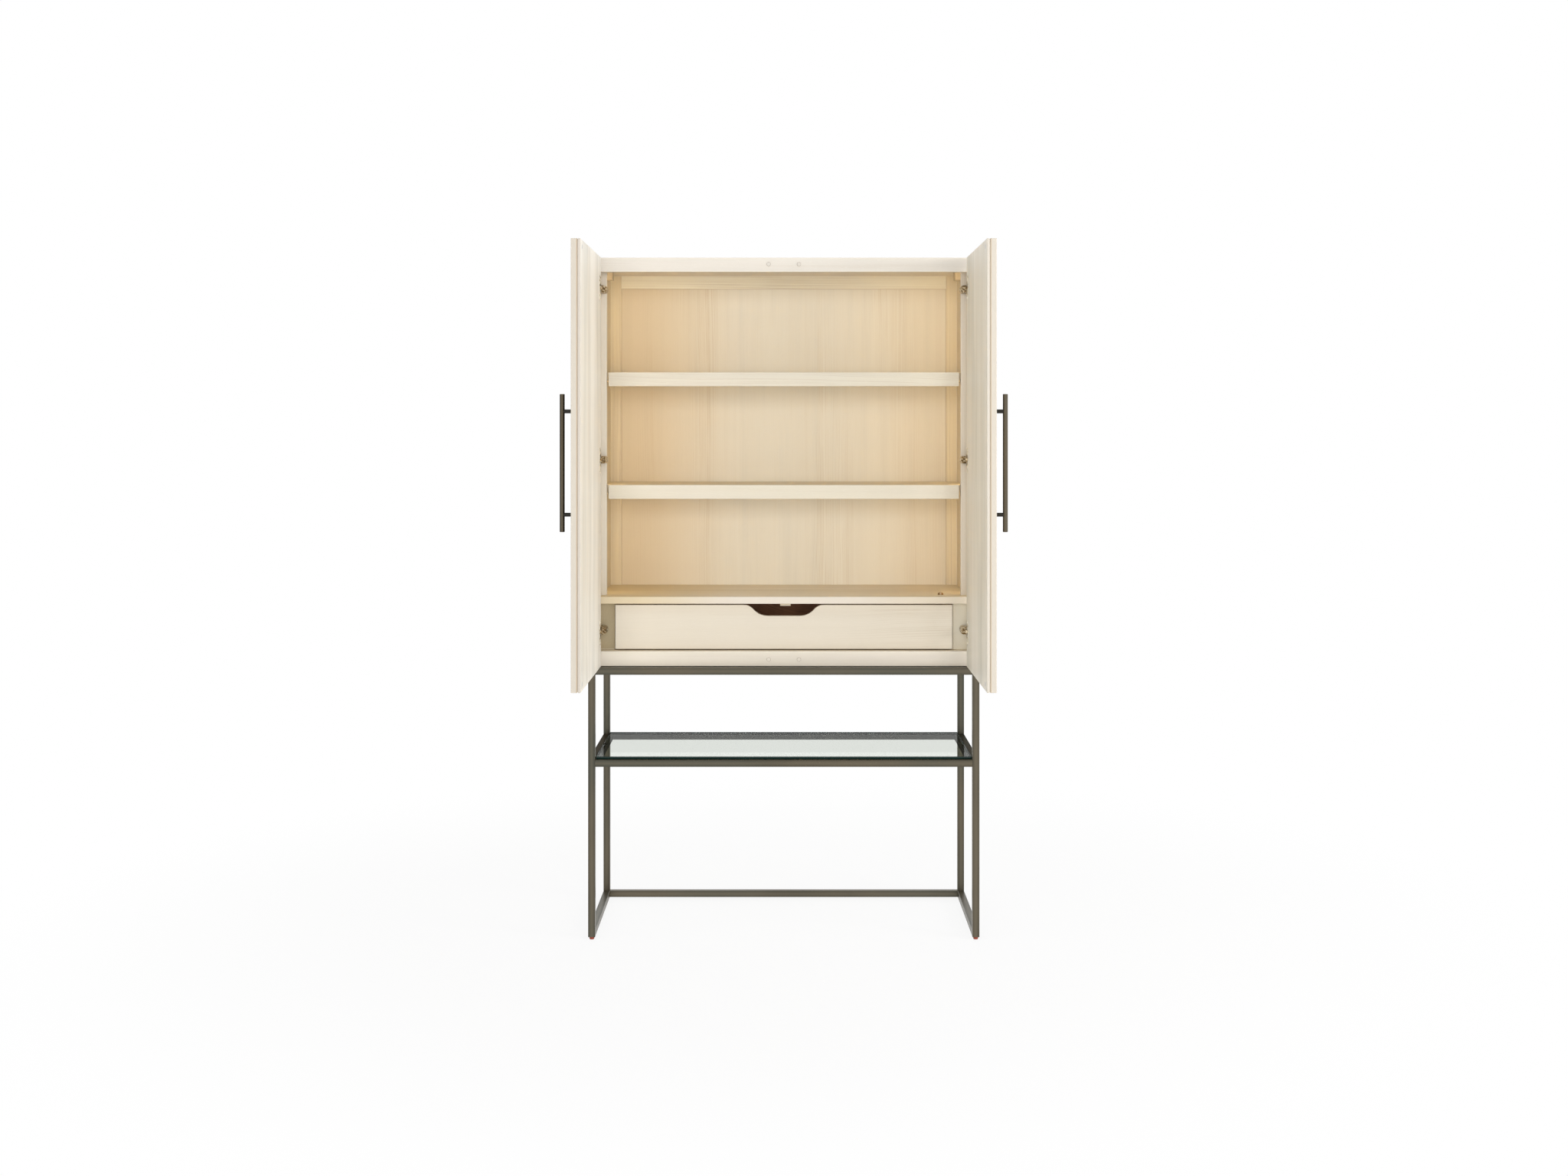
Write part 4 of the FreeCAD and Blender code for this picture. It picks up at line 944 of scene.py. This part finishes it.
def fit(name, maker, sizes, spots, body):  # spots are places with the way that each faces
    data = bpy.data.meshes.new(name)
    data.from_pydata([place for place, way in spots], [], [])
    facing = data.attributes.new("facing", "FLOAT_VECTOR", "POINT")
    for entry, (place, way) in zip(facing.data, spots):
        entry.vector = way
    piece = bpy.data.objects.new(name, data)
    bpy.context.scene.collection.objects.link(piece)
    modifier = piece.modifiers.new("maker", "NODES")
    modifier.node_group = maker.tree
    for size, value in sizes.items():
        modifier[maker.keys[size]] = value
    solid = bpy.data.meshes.new_from_object(piece.evaluated_get(bpy.context.evaluated_depsgraph_get()))
    piece.modifiers.remove(modifier)
    piece.data = solid
    shell = bmesh.new()
    shell.from_mesh(solid)
    bmesh.ops.remove_doubles(shell, verts=shell.verts, dist=weldReach)
    bmesh.ops.recalc_face_normals(shell, faces=shell.faces)
    shell.to_mesh(solid)
    shell.free()
    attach(piece, body)
    print("fitted", name, len(solid.polygons), "faces")


print("small fittings")
hingeSpots = {
    "armHalf": 0.010,
    "plateHead": 0.004,  # inner face of a plate screw's head, from the side panel
    "plateBack": 0.031,  # from the front edge of the mounting plate
    "plateApart": 0.018,
    "armFace": 0.022,  # far face of an arm, from its back
    "armScrews": (0.010, 0.030),  # from the arm's rear end
    "cupHead": 0.0022,  # proud of the door
    "cupIn": 0.0325,  # from the door's hinge edge
    "cupApart": 0.0275,
}
armLow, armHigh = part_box("hinge_arms")
hingeHeights = (armLow.z + hingeSpots["armHalf"], (armLow.z + armHigh.z) / 2,
                armHigh.z - hingeSpots["armHalf"])
plateLow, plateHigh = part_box("hinge_plates")
doorLow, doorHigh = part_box("right_door_inner")
fixedSpots = []
doorSpots = {"left": [], "right": []}
for side, sign in (("left", -1), ("right", 1)):
    inward = (-sign, 0, 0)
    for height in hingeHeights:
        for step in (-1, 1):
            plateX = sign * (plateHigh.x - hingeSpots["plateHead"])
            plateY = plateLow.y + hingeSpots["plateBack"]
            fixedSpots.append(((plateX, plateY, height + step * hingeSpots["plateApart"]), inward))
            cupX = sign * (doorLow.x - hingeSpots["cupHead"])
            cupY = doorHigh.y - hingeSpots["cupIn"]
            doorSpots[side].append(((cupX, cupY, height + step * hingeSpots["cupApart"]), inward))
        for back in hingeSpots["armScrews"]:
            armX = sign * (armHigh.x - hingeSpots["armFace"])
            fixedSpots.append(((armX, armHigh.y - back, height), inward))
heads = screwMaker()
fit("hinge_screw_heads", heads, screwHead, fixedSpots, "cabinet")
for side, spots in doorSpots.items():
    fit(side + "_cup_screw_heads", heads, screwHead, spots, side + "_door")

magnetLow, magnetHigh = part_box("catch_magnets")
magnetHalf = 0.005  # half of a magnet's width
magnetX = magnetHigh.x - magnetHalf
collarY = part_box("top_front_rail")[0].y - magnetCollar["wire"] / 2
collarSpots = [((sign * magnetX, collarY, height), (0, -1, 0)) for sign in (-1, 1)
               for height in (magnetLow.z + magnetHalf, magnetHigh.z - magnetHalf)]
fit("magnet_collars", collarMaker(), magnetCollar, collarSpots, "cabinet")


# Floor, background, lamps and camera

stage = {
    "floorSize": 60.0,
    "floor": paint(246, 246, 246),
    "whiteNear": 0.88,  # share of plain white close to the cabinet, where its shadow falls
    "nearReach": 0.9,
    "farReach": 2.4,
    "worldLight": 0.48,
}
lamps = {
    "front": dict(place=(0.0, -9.0, 1.9), size=(4.2, 2.4), power=314.0),
    "keyRight": dict(place=(4.8, -2.9, 2.0), size=(1.8, 1.8), power=142.0),
    "keyLeft": dict(place=(-4.8, -2.9, 2.0), size=(1.8, 1.8), power=24.0),
    "overhead": dict(place=(0.0, -1.2, 4.3), size=(3.0, 3.0), power=14.0),
    "behind": dict(place=(0.0, 3.6, 2.6), size=(3.0, 3.0), power=45.0),
}
lampTarget = Vector((0.0, -0.15, 1.1))
view = {  # the photograph's frame in pixels, and the eye in metres
    "width": 2048,
    "height": 1536,
    "focal": 2527.0,
    "horizonRow": 560.0,
    "middleColumn": 1023.7,
    "sensor": 36.0,
    "eye": (0.0, -5.509, 1.393),
}


def seenDirectly(skin):  # 1 for rays from the camera, a mirror or glass
    paths = skin.node("ShaderNodeLightPath", {}, {}, out="Is Camera Ray")
    node = paths.socket.node
    glossy = Wire(skin, node.outputs["Is Glossy Ray"])
    through = Wire(skin, node.outputs["Is Transmission Ray"])
    return paths.larger(glossy).larger(through)


def makeFloor():
    half = stage["floorSize"] / 2
    data = bpy.data.meshes.new("floor")
    corners = [(-half, -half, 0), (half, -half, 0), (half, half, 0), (-half, half, 0)]
    data.from_pydata(corners, [], [(0, 1, 2, 3)])
    floor = bpy.data.objects.new("floor", data)
    bpy.context.scene.collection.objects.link(floor)
    skin = Finish("floor_white")
    matt = skin.node("ShaderNodeBsdfDiffuse", {}, {"Color": stage["floor"]})
    white = skin.node("ShaderNodeEmission", {}, {"Color": (1, 1, 1, 1), "Strength": 1.0})
    parts = skin.split(skin.point())
    distance = (parts[0] * parts[0] + parts[1] * parts[1]).root()
    far = distance.rise(stage["nearReach"], stage["farReach"])
    share = seenDirectly(skin) * (far * (1.0 - stage["whiteNear"]) + stage["whiteNear"])
    mixed = skin.node("ShaderNodeMixShader", {}, {0: share, 1: matt, 2: white})
    data.materials.append(skin.finished(mixed))


def makeWorld():
    world = bpy.data.worlds.new("studio")
    bpy.context.scene.world = world
    world.use_nodes = True
    skin = Wiring(world.node_tree)
    skin.tree.nodes.clear()
    plain = (1, 1, 1, 1)
    soft = skin.node("ShaderNodeBackground", {}, {"Color": plain, "Strength": stage["worldLight"]})
    white = skin.node("ShaderNodeBackground", {}, {"Color": plain, "Strength": 1.0})
    mixed = skin.node("ShaderNodeMixShader", {}, {0: seenDirectly(skin), 1: soft, 2: white})
    skin.node("ShaderNodeOutputWorld", {}, {"Surface": mixed})


def makeLamps():
    for name, choices in lamps.items():
        data = bpy.data.lights.new(name, "AREA")
        data.shape = "RECTANGLE"
        data.size, data.size_y = choices["size"]
        data.energy = choices["power"]
        lampObject = bpy.data.objects.new(name, data)
        bpy.context.scene.collection.objects.link(lampObject)
        place = Vector(choices["place"])
        lampObject.location = place
        lampObject.rotation_euler = (lampTarget - place).to_track_quat("-Z", "Y").to_euler()
        lampObject.visible_glossy = False


def makeCamera():
    data = bpy.data.cameras.new("photo_view")
    data.sensor_width = view["sensor"]
    data.lens = view["focal"] / view["width"] * view["sensor"]
    data.shift_x = (view["width"] / 2 - view["middleColumn"]) / view["width"]
    data.shift_y = (view["horizonRow"] - view["height"] / 2) / view["width"]
    camera = bpy.data.objects.new("photo_view", data)
    bpy.context.scene.collection.objects.link(camera)
    camera.location = view["eye"]
    camera.rotation_euler = (math.radians(90), 0, 0)
    bpy.context.scene.camera = camera


makeFloor()
makeWorld()
makeLamps()
makeCamera()
bpy.context.scene.view_settings.view_transform = "Standard"
print("stage, lamps and camera")
